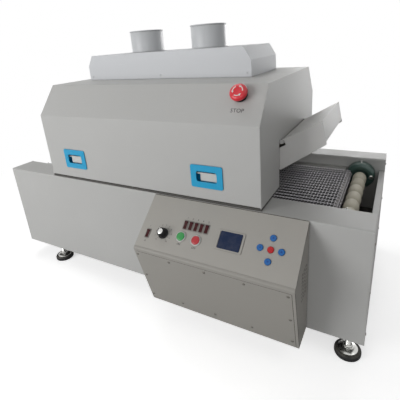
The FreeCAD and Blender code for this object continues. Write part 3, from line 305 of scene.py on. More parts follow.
# each finish: how it is made, the record's slot that it belongs to, its screen colour, and what sets it apart
looks = {
    "bodyPaint": (paint, "cream_paint", (190, 190, 188), {}),
    "exhaustPaint": (paint, "cream_paint", (217, 219, 222), {}),
    "consolePaint": (paint, "cream_paint", (173, 170, 164), {"rough": 0.42, "rubs": 0.45}),
    # the cover and shell wear a darker copy of the console paint: painted shade
    "coverPaint": (paint, "cream_paint", (157, 154, 148), {"rough": 0.42, "rubs": 0.45, "cornerShade": 0.85}),
    # the flaps wear a lighter copy of the body paint: painted light
    "flapPaint": (paint, "cream_paint", (216, 215, 213), {"rough": 0.42}),
    "ductPaint": (paint, "cream_paint", (208, 210, 212), {"rough": 0.3}),
    "bareSteel": (steel, "bare_steel", (190, 190, 188), {}),
    "linerSteel": (steel, "bare_steel", (158, 154, 148), {"rough": 0.44, "dust": 0.2}),
    "zincSteel": (steel, "bare_steel", (205, 205, 202), {"rough": 0.26}),
    "sootSteel": (steel, "bare_steel", (92, 90, 88), {"rough": 0.5, "dust": 0.3}),
    "screwSteel": (steel, "bare_steel", (128, 126, 120), {"rough": 0.42}),
    "beltWire": (steel, "belt_wire", (138, 136, 139), {"rough": 0.36}),
    # the return run wears a darker copy of the belt wire: painted shade under the top run
    "returnWire": (steel, "belt_wire", (58, 57, 58), {"rough": 0.55, "dust": 0.05}),
    "castGreen": (moulded, "cast_green", (62, 90, 83), {"rough": 0.4, "coat": 0.25, "grain": 160.0,
                                                        "rise": 0.0004, "dust": 0.15}),
    "footRubber": (moulded, "black_rubber", (30, 30, 31), {"rough": 0.7, "grain": 300.0, "dust": 0.3}),
    # dark strips for the painted seam shadows
    "sealRubber": (moulded, "black_rubber", (62, 60, 58), {"rough": 0.75}),
    "hoodSeal": (moulded, "black_rubber", (82, 80, 77), {"rough": 0.75}),
    "framePlastic": (moulded, "black_plastic", (144, 140, 135), {"rough": 0.5, "specular": 0.2}),
    "blackPlastic": (moulded, "black_plastic", (24, 24, 26), {"rough": 0.42, "specular": 0.25}),
    "palePlastic": (moulded, "pale_plastic", (206, 207, 204), {"rough": 0.38}),
    "bluePlastic": (moulded, "blue_plastic", (24, 164, 212), {"rough": 0.34, "coat": 0.1}),
    "redPlastic": (moulded, "red_plastic", (222, 30, 48), {"rough": 0.28, "coat": 0.3}),
    "greenPlastic": (moulded, "green_plastic", (28, 150, 68), {"rough": 0.3, "coat": 0.25}),
    "stopRed": (moulded, "red_plastic", (186, 34, 44), {"rough": 0.3, "coat": 0.25}),
    "darkRedPlastic": (moulded, "dark_red_plastic", (60, 5, 14), {"rough": 0.45, "specular": 0.1}),
    "keyBlue": (moulded, "key_blue", (44, 108, 178), {"rough": 0.5, "specular": 0.2}),
    "keyRed": (moulded, "key_red", (196, 46, 50), {"rough": 0.5, "specular": 0.2}),
    "quartz": (moulded, "heater_tube", (226, 218, 204), {"rough": 0.3, "grain": 90.0}),
    "rollerRubber": (moulded, "roller_rubber", (220, 214, 194), {"rough": 0.6, "grain": 260.0, "rise": 0.0002,
                                                                 "dust": 0.15}),
    "printPale": (moulded, "pale_plastic", (236, 236, 232), {"rough": 0.5}),
    "printBlue": (moulded, "key_blue", (26, 60, 150), {"rough": 0.5}),
    "printDark": (moulded, "black_plastic", (52, 52, 56), {"rough": 0.55}),
    "displayFace": (moulded, "display", (30, 44, 74), {"rough": 0.35, "specular": 0.15, "grain": 800.0,
                                                       "rise": 0.00002}),
}
finish = {name: make(name, tone(*colour), **values) for name, (make, slot, colour, values) in looks.items()}

# the solids that wear each finish
dressing = {
    "bodyPaint": "front_panel rear_panel service_panel outlet_end_plate inlet_end_plate hood_shell "
                 "hood_end_outlet hood_end_inlet",
    "exhaustPaint": "exhaust_box",
    "consolePaint": "control_panel lcd_module",
    # the cover's and shell's darker paint is painted shade
    "coverPaint": "console_cover console_shell",
    # the flaps' lighter paint is painted light
    "flapPaint": "outlet_flap inlet_flap",
    "ductPaint": "exhaust_collars",
    "linerSteel": "hood_liner",
    "sootSteel": "heater_tray nose_bars floor_pan",
    "bareSteel": "belt_rails base_hinges hood_hinges foot_stems",
    "beltWire": "belt_top_run drive_chain motor_sprocket",
    "returnWire": "belt_return_run",
    "quartz": "lower_heaters upper_heaters",
    "castGreen": "bearing_blocks gear_motor",
    "footRubber": "foot_pads",
    "hoodSeal": "hood_seal",
    "framePlastic": "switch_frames",
    "blackPlastic": "estop_collar power_inlet speed_knob fan_rotor_left fan_rotor_right",
    "palePlastic": "button_bezels latch_paddle_left latch_paddle_right",
    "bluePlastic": "latch_housings",
    "rollerRubber": "outfeed_roller infeed_roller",
    "redPlastic": "estop_head",
    "stopRed": "stop_button",
    "greenPlastic": "start_button",
    "darkRedPlastic": "main_rocker zone_rocker_1 zone_rocker_2 zone_rocker_3 zone_rocker_4 zone_rocker_5",
    "keyBlue": "key_up key_down key_left key_right",
    "keyRed": "key_enter",
}
for look, names in dressing.items():
    for name in names.split():
        for place in nodes[name].material_slots:
            place.material = finish[look]
print("finishes on", sum(len(names.split()) for names in dressing.values()), "solids")

# places to build on: an origin and the directions right, up and out; slopes are d and h per mm upwards
slopes = {"panel": (0.7559, 0.6547), "cover": (-0.2416, 0.9704), "slant": (0.6228, 0.7823)}
sides = {"front": ((1, 0, 0), (0, 0, 1)), "back": ((-1, 0, 0), (0, 0, 1)), "outlet": ((0, 1, 0), (0, 0, 1)),
         "inlet": ((0, -1, 0), (0, 0, 1)), "top": ((1, 0, 0), (0, 1, 0))}
sides.update({name: ((1, 0, 0), (0,) + slope) for name, slope in slopes.items()})
console = {"left": 63.0, "right": 567.0, "top": 360.0, "coverFoot": -83.0, "coverLean": 0.24895}


def face(side, x, d, h, turn=0.0):  # a place on a side, turned by degrees about its outward direction
    right, up = (np.array(v, float) for v in sides[side])
    c, s = math.cos(math.radians(turn)), math.sin(math.radians(turn))
    right, up = c * right + s * up, c * up - s * right
    return np.array([x, d, h], float), np.array([right, up, np.cross(right, up)])


def onPanel(x, down, turn=0.0):  # down is measured from the panel's upper edge along its slope
    back, rise = slopes["panel"]
    return face("panel", x, -back * down, console["top"] - rise * down, turn)


def onCover(x, h):  # the cover leans forwards as it rises
    return face("cover", x, console["coverFoot"] - console["coverLean"] * h, h)


def shifted(where, right=0.0, up=0.0):  # a place moved along its own directions
    return where[0] + np.array([right, up, 0.0]) @ where[1], where[1]


def put(shape, where):  # a shape's right, up and out carried to a place
    return where[0] + shape[0] @ where[1], shape[1]


# shapes are points with arrays of faces between them
def gridFaces(rows, columns, wrapRows, wrapColumns):  # a quad from each grid point to the next row and column
    down, across = np.arange(rows - (not wrapRows)), np.arange(columns - (not wrapColumns))
    i, j = (grid.ravel() for grid in np.meshgrid(down, across, indexing="ij"))
    i2, j2 = (i + 1) % rows, (j + 1) % columns
    return np.stack([i * columns + j, i * columns + j2, i2 * columns + j2, i2 * columns + j], 1)


def spun(profile, steps=32, ring=False, flutes=0, depth=0.0):
    # a profile (radius, out) turned once round; where out is above zero and the radius over four depths, the
    # radius dips by depth, flutes times round, as a raised cosine squared
    profile = np.array(profile, float)
    angle = np.arange(steps) * 2 * np.pi / steps
    wave = (0.5 - 0.5 * np.cos(flutes * angle)) ** 2
    dip = depth * wave * (profile[:, 1:] > 0) * (profile[:, :1] > 4 * depth)
    radius = profile[:, :1] - dip
    points = np.stack([radius * np.cos(angle), radius * np.sin(angle), profile[:, 1:] + 0 * radius], 2)
    return points.reshape(-1, 3), [gridFaces(len(profile), steps, ring, True)]


def rounded(width, height, radius, steps=6):  # a rectangle's outline, with a quarter circle at each corner
    angle = np.linspace(0, np.pi / 2, steps)[None] + np.arange(4)[:, None] * np.pi / 2
    centre = np.array([(1, 1), (-1, 1), (-1, -1), (1, -1)]) * (width / 2 - radius, height / 2 - radius)
    return (centre[:, None] + radius * np.stack([np.cos(angle), np.sin(angle)], 2)).reshape(-1, 2)


def stacked(*layers):  # outlines of one point count, each at its own height, walled between and capped
    count = len(layers[0][0])
    points = np.concatenate([np.column_stack([outline, np.full(count, level)]) for outline, level in layers])
    top = np.arange(count)[None] + count * (len(layers) - 1)
    return points, [gridFaces(len(layers), count, False, True), top, np.arange(count)[None, ::-1]]


def block(width, height, low, high, radius=0.4, soft=0.3):  # a rounded plate whose top edge slopes in by soft
    outer = rounded(width, height, radius)
    inner = rounded(width - 2 * soft, height - 2 * soft, max(radius - soft, 0.05))
    return stacked((outer, low), (outer, high - soft), (inner, high))


def build(name, body, look, shapes, sharp=38.0, replaces=()):  # all the shapes as one piece on a body
    starts = np.cumsum([0] + [len(points) for points, faces in shapes])
    points = toMetres(np.concatenate([points for points, faces in shapes]))
    rows = [row for start, (_, faces) in zip(starts, shapes) for f in faces for row in (f + start).tolist()]
    mesh = bpy.data.meshes.new(name)
    mesh.from_pydata(points.tolist(), [], rows)
    work = bmesh.new()
    work.from_mesh(mesh)
    bmesh.ops.remove_doubles(work, verts=work.verts, dist=1e-6)
    bmesh.ops.dissolve_degenerate(work, dist=1e-7, edges=work.edges)
    work.to_mesh(mesh)
    work.free()
    mesh.shade_smooth()
    mesh.set_sharp_from_angle(angle=math.radians(sharp))
    mesh.materials.append(finish[look])
    piece = bpy.data.objects.new(name, mesh)
    bpy.context.scene.collection.objects.link(piece)
    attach(piece, body)
    if replaces:
        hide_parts(*replaces)


# woven wire belt: a straight run, a half turn round the nose bar, the return run and the other half turn
belt = {"noseX": 602.0, "noseH": 307.0, "turn": 13.5, "front": 145.0, "back": 512.0, "pitch": 10.0,
        "rod": 0.8, "wire": 1.0, "flat": 1.3, "weave": 11.0, "hook": 1.2, "rise": 0.75, "edge": 2.0}


def beltPoint(s, lift):
    # s runs along the loop from the inlet nose and lift is outwards: along x on a run, round by s over the
    # radius at a nose
    run, bend, turn = 2 * belt["noseX"], math.pi * belt["turn"], belt["turn"]
    s = s % (2 * run + 2 * bend)
    angle = np.clip((s - run) / turn, 0, np.pi) + np.clip((s - 2 * run - bend) / turn, 0, np.pi)
    along = -belt["noseX"] + np.clip(s, 0, run) - np.clip(s - run - bend, 0, run)
    return along + (turn + lift) * np.sin(angle), belt["noseH"] + (turn + lift) * np.cos(angle)


def beltRods(s):  # straight rods across the belt at each s, with a hexagon for a section
    angle = np.arange(6) * np.pi / 3
    x, h = beltPoint(s[:, None] + belt["rod"] * np.cos(angle), belt["rod"] * np.sin(angle))
    ends = np.array([belt["front"], belt["back"]])
    points = np.stack(np.broadcast_arrays(x[:, None, :], ends[None, :, None], h[:, None, :]), 3)
    first = (np.arange(len(s)) * 12)[:, None]
    wall = (gridFaces(2, 6, False, True)[None, :, ::-1] + first[:, :, None]).reshape(-1, 4)
    return points.reshape(-1, 3), [wall, first + np.arange(6), first + 6 + np.arange(6)[::-1]]


def beltLinks(s, pitch):
    # a flat zigzag spring between each pair of rods: out and back by a cosine, over and under by turns
    steps = 2 * int((belt["back"] - belt["front"] - 2 * belt["edge"]) / belt["weave"])
    t = np.arange(steps + 1) / 2.0
    swing = -(pitch / 2 + belt["hook"]) * np.cos(np.pi * t)
    over = np.where((t - 0.5) % 2 < 0.5, belt["rise"], -belt["rise"])
    lift = np.where(np.isclose(t % 1, 0.5), over, 0.0)
    across = belt["front"] + belt["edge"] + t * belt["weave"]
    corner = np.arange(4) * np.pi / 2
    x, h = beltPoint(s[:, None, None] + swing[None, :, None] + 0 * corner,
                     lift[None, :, None] + belt["wire"] * np.sin(corner))
    d = across[None, :, None] + belt["wire"] * belt["flat"] * np.cos(corner)
    points = np.stack(np.broadcast_arrays(x, d, h), 3)
    first = (np.arange(len(s)) * 4 * len(t))[:, None, None]
    return points.reshape(-1, 3), [(gridFaces(len(t), 4, False, True)[None] + first).reshape(-1, 4)]


def makeBelt():
    bend = math.pi * belt["turn"]
    loop = 4 * belt["noseX"] + 2 * bend
    count = int(round(loop / belt["pitch"]))
    pitch = loop / count
    s = np.arange(count) * pitch
    top = (s < 2 * belt["noseX"] + bend) | (s > loop - bend)
    # the return run's darker wire is painted shade
    for name, part, look, node in (("wireBeltTop", s[top], "beltWire", "belt_top_run"),
                                   ("wireBeltReturn", s[~top], "returnWire", "belt_return_run")):
        build(name, "cabinet", look, [beltRods(part), beltLinks(part + pitch / 2, pitch)], replaces=(node,))


makeBelt()
print("wire belt woven")

# cast bearings: a thick turned ring with a well for the shaft, two hexagon bolts and a grease nipple
bearing = {"x": 644.0, "h": 297.0, "front": 104.0, "back": 553.0, "radius": 50.0, "depth": 36.0, "bore": 9.4,
           "well": 27.0, "wellFloor": 12.0, "boltAt": 38.0, "bolt": 7.0, "washer": 8.6}


def makeBearings():
    r, deep, bore, well = bearing["radius"], bearing["depth"], bearing["bore"], bearing["well"]
    bolt, washer, floor = bearing["bolt"], bearing["washer"], bearing["wellFloor"]
    ring = spun([(bore, 0), (r - 3, 0), (r, 3), (r, deep - 12), (r - 0.8, deep - 8), (r - 3, deep - 4.5),
                 (r - 6, deep - 1.8), (r - 10, deep - 0.4), (r - 13, deep), (well + 3, deep),
                 (well + 1.2, deep - 0.8), (well, deep - 3), (well, floor), (bore, floor)], 56, ring=True)
    head = spun([(bolt, deep - 2), (bolt, deep + 3.4), (bolt - 1, deep + 4.4), (0, deep + 4.4)], 6)
    plate = spun([(washer, deep - 2), (washer, deep + 0.6), (0, deep + 0.6)], 16)
    nipple = spun([(3, -1), (3, 2.2), (2.2, 3), (1.6, 3.2), (1.6, 5), (2.3, 5.6), (2.3, 6.6), (1.2, 7.6),
                   (0, 7.8)], 10)
    cast, bright = [], []
    for x in (-bearing["x"], bearing["x"]):
        for side, d, inward in (("back", bearing["front"], 1), ("front", bearing["back"], -1)):
            where = face(side, x, d, bearing["h"])
            cast.append(put(ring, where))
            bright += [put(shape, shifted(where, right)) for right in (bearing["boltAt"], -bearing["boltAt"])
                       for shape in (head, plate)]
            bright.append(put(nipple, face("top", x, d + inward * deep / 2, bearing["h"] + r)))
    build("bearingCasts", "cabinet", "castGreen", cast, replaces=("bearing_blocks",))
    build("bearingBolts", "cabinet", "zincSteel", bright)


makeBearings()

# belt-end rollers: a row of crowned rubber wheels on a bright shaft, and a toothed sprocket on the driven one
roller = {"radius": 24.0, "front": 144.0, "back": 513.0, "bulge": 4.8, "wheels": 6, "fill": 0.475,
          "shaft": 9.0, "shaftFront": 104.3, "outfeedBack": 592.0, "infeedBack": 552.7}
sprocket = {"radius": 28.0, "teeth": 18, "depth": 3.4, "d": 586.0, "thick": 6.0, "bevel": 0.8, "taper": 0.97}


def toothed(radius, teeth, depth, steps=6):  # sprocket outline: the radius follows a flattened cosine
    angle = np.arange(teeth * steps) * 2 * np.pi / (teeth * steps)
    r = radius - depth * np.clip(0.5 - 0.9 * np.cos(teeth * angle), 0, 1)
    return np.stack([r * np.cos(angle), r * np.sin(angle)], 1)


def makeRollers():
    front, count, s, h = roller["front"], roller["wheels"], roller["shaft"], bearing["h"]
    # across one wheel u runs from -1 to 1, and the radius falls as u to the fourth
    u = np.array([-1.0, -0.97, -0.9, -0.7, -0.35, 0.0, 0.35, 0.7, 0.9, 0.97, 1.0])
    out = (np.arange(count)[:, None] + 0.5 + roller["fill"] * u) * (roller["back"] - front) / count
    fall = np.tile(roller["radius"] - roller["bulge"] * u ** 4, (count, 1))
    wheels = np.column_stack([fall.ravel(), out.ravel()])
    drum = spun(np.concatenate([[(s, out[0, 0])], wheels, [(s, out[-1, -1])]]), 40)
    cog = toothed(sprocket["radius"], sprocket["teeth"], sprocket["depth"])
    small, thick, bevel = cog * sprocket["taper"], sprocket["thick"], sprocket["bevel"]
    gear = stacked((small, 0), (cog, bevel), (cog, thick - bevel), (small, thick))
    for name, x in (("outfeed", bearing["x"]), ("infeed", -bearing["x"])):
        body, reach = name + "_roller", roller[name + "Back"] - roller["shaftFront"]
        rod = spun([(0, 0), (s - 1, 0), (s, 1), (s, reach - 1), (s - 1, reach), (0, reach)], 24)
        axle = [put(rod, face("back", x, roller["shaftFront"], h))]
        if name == "outfeed":
            axle.append(put(gear, face("back", x, sprocket["d"], h)))
        build(name + "Drum", body, "rollerRubber", [put(drum, face("back", x, front, h))], replaces=(body,))
        build(name + "Shaft", body, "zincSteel", axle)


makeRollers()
print("bearings and rollers in place")

# levelling feet: a rubber pad with a pressed metal cup, a threaded stem and a hexagon nut under the base
feet = {"spots": [(682, 34), (682, 603), (-552, 34), (-552, 603)], "pad": 38.0, "stem": 8.0, "pitch": 2.0,
        "groove": 0.55, "cup": 31.5, "nut": 15.0, "nutHeight": 10.2}


def makeFeet():
    p, s, cup, nut, high = feet["pad"], feet["stem"], feet["cup"], feet["nut"], underside
    pad = spun([(0, 0), (p - 3, 0), (p - 0.8, 0.8), (p, 3), (p, 10), (p - 0.8, 13), (p - 3, 15.4),
                (p - 6.5, 16.6), (p - 9.5, 16), (0, 16)], 40)
    dome = spun([(p - 9, 14.5), (p - 10, 17.5), (p - 14.5, 20.5), (p - 21, 22.6), (14, 23.2), (13, 24),
                 (12, cup - 1.5), (10.5, cup), (0, cup)], 40)
    level = np.arange(cup - 0.5, high, feet["pitch"] / 2)  # crests and grooves of the thread by turns
    thread = np.column_stack([s - feet["groove"] * (np.arange(len(level)) % 2), level])
    stem = spun(np.concatenate([thread, [(s, high), (0, high)]]), 20)
    low = high - feet["nutHeight"]
    hexagon = spun([(0, low), (nut - 1.6, low), (nut, low + 1.4), (nut, high - 1.4), (nut - 1.6, high),
                    (0, high)], 6)
    where = [face("top", x, d, -underside) for x, d in feet["spots"]]
    build("footPads", "cabinet", "footRubber", [put(pad, w) for w in where], replaces=("foot_pads",))
    metal = [put(shape, w) for w in where for shape in (dome, stem, hexagon)]
    build("footStems", "cabinet", "zincSteel", metal, sharp=28.0, replaces=("foot_stems",))


makeFeet()

# duct collars: a rolled lip, a flange on the box, and three arms that carry the fan
ducts = {"x": (-175.0, 109.0), "d": 363.0, "h": 805.0, "radius": 65.0, "wall": 2.0, "height": 81.0,
         "bead": 2.1, "hub": 22.0, "arm": 6.0, "armLow": 8.0, "armHigh": 14.0, "armTurns": (30, 150, 270)}


def makeDucts():
    r, inner, top, bead = ducts["radius"], ducts["radius"] - ducts["wall"], ducts["height"], ducts["bead"]
    hub, low, high = ducts["hub"], ducts["armLow"], ducts["armHigh"]
    bend = np.linspace(-0.75, 1.0, 9) * np.pi  # the lip is a round bead, from its underside over the top
    lip = np.column_stack([r - 0.1 + bead * np.cos(bend), top - bead + bead * np.sin(bend)])
    wall = [(inner, -0.8), (r + 9, -0.8), (r + 9, 1.2), (r + 8.4, 1.6), (r + 2.4, 1.8), (r + 0.5, 2.6),
            (r, 4.5), (r, top - 6)]
    tube = spun(np.concatenate([wall, lip, [(inner, top - 3)]]), 72, ring=True)
    boss = spun([(0, low), (hub - 1, low), (hub, low + 1), (hub, high - 1), (hub - 1, high), (0, high)], 32)
    begin, end = hub - 4, inner + 1  # an arm runs from inside the hub to inside the tube's wall
    bar = rounded(end - begin, ducts["arm"], radius=0.6) + ((begin + end) / 2, 0)
    arm = stacked((bar, low), (bar, high))
    shapes = []
    for x in ducts["x"]:
        spot = (x, ducts["d"], ducts["h"])
        shapes += [put(shape, face("top", *spot)) for shape in (tube, boss)]
        shapes += [put(arm, face("top", *spot, turn)) for turn in ducts["armTurns"]]
    build("ductCollars", "hood", "ductPaint", shapes, replaces=("exhaust_collars",))


makeDucts()
print("feet and ducts in place")

# emergency stop: a mushroom head, dished on top and marked with arrows, over a ribbed collar
estop = {"spot": (357.0, 61.3, 678.0), "head": 26.0, "low": 13.3, "high": 27.3, "collar": 21.0, "ribs": 24,
         "arrows": 3, "arrowAt": 14.8, "arrowHalf": 1.4, "tipHalf": 3.4, "arrowEnd": 62.0, "tipEnd": 88.0}


def stopArrow(steps=8):  # an arc of even width with a pointed end, the way the head is turned to free it
    at, half, tip, end = estop["arrowAt"], estop["arrowHalf"], estop["tipHalf"], estop["arrowEnd"]
    arc = np.linspace(0, end, steps)
    angle = np.radians(np.concatenate([arc, (end, estop["tipEnd"], end), arc[::-1]]))
    away = np.concatenate([np.full(steps, at + half), (at + tip, at, at - tip), np.full(steps, at - half)])
    return np.column_stack([away * np.cos(angle), away * np.sin(angle)])


def makeStop():
    r, low, high, c = estop["head"], estop["low"], estop["high"], estop["collar"]
    where = face("slant", *estop["spot"])
    head = spun([(0, -6), (8.6, -6), (8.6, low - 1), (12, low), (r - 3, low), (r - 0.9, low + 0.9),
                 (r, low + 3), (r, low + 6.5), (r - 1, low + 9.4), (r - 3.6, high - 2), (r - 7.5, high - 0.6),
                 (r - 11, high), (r - 14, high - 0.2), (8, high - 0.9), (0, high - 1.2)], 48)
    collar = spun([(9.2, -2), (c - 0.8, -2), (c, 0.6), (c, 4.4), (c - 0.8, 5.7), (c - 2.4, 6.4), (9.2, 6.4)],
                  48, ring=True, flutes=estop["ribs"], depth=0.7)
    mark = stacked((stopArrow(), high - 1.0), (stopArrow(), high + 0.15))
    turns = np.arange(estop["arrows"]) * 360 / estop["arrows"]
    marks = [put(mark, face("slant", *estop["spot"], turn)) for turn in turns]
    build("stopHead", "estop_head", "redPlastic", [put(head, where)], replaces=("estop_head",))
    build("stopArrows", "estop_head", "printPale", marks)
    build("stopCollar", "hood", "blackPlastic", [put(collar, where)], replaces=("estop_collar",))


makeStop()

# panel controls: push-buttons in bezels, a fluted knob with a pointer, round keys with arrows; a place is x
# and the distance down the panel
controls = {"start": (212.0, 120.0), "stop": (264.0, 121.0), "cap": 13.2, "ring": (13.5, 16.4),
            "knob": (149.0, 123.0), "knobTurn": 30.0, "flutes": 16, "pointerUp": 6.5,
            "display": (367.0, 101.0), "glass": (67.0, 51.0), "keys": (484.5, 98.5), "keyStep": (29.5, 32.5),
            "key": 8.9, "rockers": (214.0, 82.0), "rockerStep": 18.0, "rockerCount": 5, "main": (94.0, 133.0)}


def makeButtons():
    c, (inner, outer) = controls["cap"], controls["ring"]
    cap = spun([(0, -3), (c, -3), (c, 3.4), (c - 0.5, 4.6), (c - 2, 5.3), (8, 5.6), (0, 5.6)], 36)
    bezel = spun([(inner, -1), (outer, -1), (outer, 1.6), (outer - 0.4, 2.7), (outer - 1, 3.5),
                  (outer - 1.8, 4), (inner + 0.4, 4), (inner, 3.5)], 40, ring=True)
    start, stop = onPanel(*controls["start"]), onPanel(*controls["stop"])
    build("startCap", "start_button", "greenPlastic", [put(cap, start)], replaces=("start_button",))
    build("stopCap", "stop_button", "stopRed", [put(cap, stop)], replaces=("stop_button",))
    rings = [put(bezel, start), put(bezel, stop)]
    build("buttonRings", "cabinet", "palePlastic", rings, replaces=("button_bezels",))


def makeKnob():
    knob = spun([(0, 0.4), (17, 0.4), (17, 2.6), (16.4, 3.4), (14.4, 4), (14.0, 5), (13.2, 18), (12.6, 20),
                 (11, 21.6), (9, 22), (0, 21.8)], 96, flutes=controls["flutes"], depth=0.8)
    top = spun([(8.4, 21.4), (8.4, 22.2), (7.8, 22.5), (0, 22.5)], 36)
    pointer = block(width=2.0, height=11.0, low=21.0, high=22.8, radius=0.6, soft=0.2)
    where = onPanel(*controls["knob"], controls["knobTurn"])
    build("knobBody", "speed_knob", "blackPlastic", [put(knob, where)], replaces=("speed_knob",))
    build("knobCap", "speed_knob", "zincSteel", [put(top, where)])
    build("knobPointer", "speed_knob", "printPale", [put(pointer, shifted(where, up=controls["pointerUp"]))])


def makeKeys():
    r, (x, down), (right, lower) = controls["key"], controls["keys"], controls["keyStep"]
    key = spun([(0, -1), (r, -1), (r, 1.7), (r - 0.4, 2.3), (r - 1.3, 2.6), (r - 3.4, 2.5), (0, 2.3)], 32)
    arrow = stacked((np.array([(-2.6, -1.6), (2.6, -1.6), (0, 3)]), 2.2),
                    (np.array([(-2.5, -1.5), (2.5, -1.5), (0, 2.9)]), 2.75))
    for name, dx, dv, turn in (("up", 0, -lower, 0), ("down", 0, lower, 180), ("left", -right, 0, 90),
                               ("right", right, 0, -90)):
        where = onPanel(x + dx, down + dv, turn)
        build(name + "Key", "key_" + name, "keyBlue", [put(key, where)], replaces=("key_" + name,))
        build(name + "Arrow", "key_" + name, "printBlue", [put(arrow, where)])
    build("enterKey", "key_enter", "keyRed", [put(key, onPanel(x, down))], replaces=("key_enter",))


def makeDisplay():
    glass = block(*controls["glass"], low=-0.5, high=2.0, radius=1.5, soft=0.4)
    build("displayGlass", "cabinet", "displayFace", [put(glass, onPanel(*controls["display"]))])


makeButtons()
makeKnob()
makeKeys()
makeDisplay()
print("controls in place")

# plain prints: dial ticks and figures, switch numbers, on, off and stop
prints = {"thick": 0.06, "above": 0.08, "ticks": 11, "sweep": 140.0, "tickAt": 21.5, "figureAt": 28.0,
          "figure": 6.2, "number": 8.0, "numberUp": 22.0, "word": 8.0, "wordDown": 23.0, "mark": 7.0,
          "markOff": 24.0, "stop": 17.0, "stopDown": 47.0}


def lettering(text, size, where):  # figures from the built-in letter outlines, as a thin flat mesh
    curve = bpy.data.curves.new("letters", "FONT")
    curve.body, curve.size, curve.extrude = text, size, prints["thick"]
    curve.align_x, curve.align_y = "CENTER", "CENTER"
    curve.resolution_u = 3
    holder = bpy.data.objects.new("letters", curve)
    mesh = bpy.data.meshes.new_from_object(holder)
    points = np.zeros(len(mesh.vertices) * 3)
    mesh.vertices.foreach_get("co", points)
    faces = [np.array([list(p.vertices)]) for p in mesh.polygons]
    bpy.data.objects.remove(holder)
    bpy.data.curves.remove(curve)
    return put((points.reshape(-1, 3) + (0, 0, prints["above"]), faces), where)


def makePrints():
    panel, (x, down) = [], controls["knob"]
    near, far = prints["tickAt"], prints["figureAt"]
    tick = block(width=0.7, height=3.4, low=-0.1, high=0.14, radius=0.1, soft=0.02)
    for k, turn in enumerate(np.linspace(prints["sweep"], -prints["sweep"], prints["ticks"])):
        right, up = -math.sin(math.radians(turn)), math.cos(math.radians(turn))
        panel.append(put(tick, onPanel(x + near * right, down - near * up, turn)))
        panel.append(lettering(str(k), prints["figure"], onPanel(x + far * right, down - far * up)))
    x, down = controls["rockers"]
    for k in range(controls["rockerCount"]):
        where = onPanel(x + controls["rockerStep"] * k, down - prints["numberUp"])
        panel.append(lettering(str(k + 1), prints["number"], where))
    for text, key in (("ON", "start"), ("OFF", "stop")):
        x, down = controls[key]
        panel.append(lettering(text, prints["word"], onPanel(x, down + prints["wordDown"])))
    x, down = controls["main"]
    panel += [lettering(text, prints["mark"], onPanel(x, down + off))
              for text, off in (("I", -prints["markOff"]), ("O", prints["markOff"]))]
    build("panelPrints", "cabinet", "printDark", panel)
    below = shifted(face("slant", *estop["spot"]), up=-prints["stopDown"])
    build("stopPrint", "hood", "printDark", [lettering("STOP", prints["stop"], below)])


makePrints()

# pan-head screws, a few on every bolted sheet
screws = {"radius": 4.2, "coverX": (72.0, 190.0, 309.0, 430.0, 549.0), "coverH": (26.0, 214.0),
          "coverMidX": (74.0, 549.0), "coverMidH": 121.0, "endX": 725.0, "endD": (14.0, 623.0),
          "endH": (30.0, 170.0, 320.0), "serviceX": (-279.0, -9.0, 261.0), "serviceD": 639.0,
          "serviceH": (70.0, 260.0), "hingeX": (-320.0, 300.0), "hingeStep": (-30.0, 0.0, 30.0),
          "baseHinge": (639.5, 326.0), "hoodHinge": (635.5, 400.0), "exhaustX": (-380.0, -36.0, 307.0),
          "exhaustD": (236.0, 490.0), "exhaustH": 722.0}


def screwsAt(name, body, places, look="screwSteel"):
    r = screws["radius"]
    head = spun([(r, -0.4), (r, 0.5), (0.86 * r, 1.5), (0.5 * r, 2.1), (0.3 * r, 2.2), (0.24 * r, 1.5),
                 (0, 1.5)], 10)
    build(name, body, look, [put(head, p) for p in places], sharp=50.0)


def makeScrews():
    cover = [onCover(x, h) for h in screws["coverH"] for x in screws["coverX"]]
    cover += [onCover(x, screws["coverMidH"]) for x in screws["coverMidX"]]
    screwsAt("coverScrews", "cabinet", cover)
    for side, x in (("outlet", screws["endX"]), ("inlet", -screws["endX"])):
        plate = [face(side, x, d, h) for d in screws["endD"] for h in screws["endH"]]
        screwsAt(side + "Screws", "cabinet", plate)
    service = [face("back", x, screws["serviceD"], h) for x in screws["serviceX"] for h in screws["serviceH"]]
    screwsAt("serviceScrews", "cabinet", service)
    across = [x + step for x in screws["hingeX"] for step in screws["hingeStep"]]
    screwsAt("hingeScrews", "cabinet", [face("back", x, *screws["baseHinge"]) for x in across])
    screwsAt("hoodHingeScrews", "hood", [face("back", x, *screws["hoodHinge"]) for x in across])
    exhaust = [face(side, x, d, screws["exhaustH"]) for side, d in zip(("front", "back"), screws["exhaustD"])
               for x in screws["exhaustX"]]
    screwsAt("exhaustScrews", "hood", exhaust, "exhaustPaint")


makeScrews()
print("prints and screws on")

# painted seam shadows: dark strips on the cheeks where the cover and the panel are folded over them,
# hairlines on the cover along its inset side and under the fold, and the joint of the panel with the base's
# rim; ends are d and h
seams = {"deep": 2.4, "wide": 1.3, "low": -0.2, "high": 0.15, "inset": 8.2, "foot": 4.0, "fold": 226.5,
         "hair": 1.2, "foldHair": 0.84, "hairHigh": 0.12, "rimDown": 1.6, "rimShort": 4.0,
         "coverEnds": ((-83.0, 2.0), (-139.5, 229.0)), "panelEnds": ((-134.0, 244.0), (-3.0, 357.4))}


def cheekStrips(ends, inward):  # a dark strip of painted shadow beside a straight fold, on one cheek and mirrored on the other
    a, b, n = (np.array(v) for v in (*ends, inward))
    near, far = seams["deep"] * n, (seams["deep"] + seams["wide"]) * n
    strip = np.array([a + near, a + far, b + far, b + near])
    if inward[1] < 0:
        strip = strip[::-1]
    mirrored = strip[::-1] * (-1, 1)
    return [put(stacked((outline, seams["low"]), (outline, seams["high"])), where)
            for outline, where in ((strip, face("outlet", console["right"], 0, 0)),
                                   (mirrored, face("inlet", console["left"], 0, 0)))]


def hairline(width, height, where):  # a thin plate, just proud of its sheet, for a painted shadow line
    return put(block(width, height, seams["low"], seams["hairHigh"], radius=0.1, soft=0.02), where)


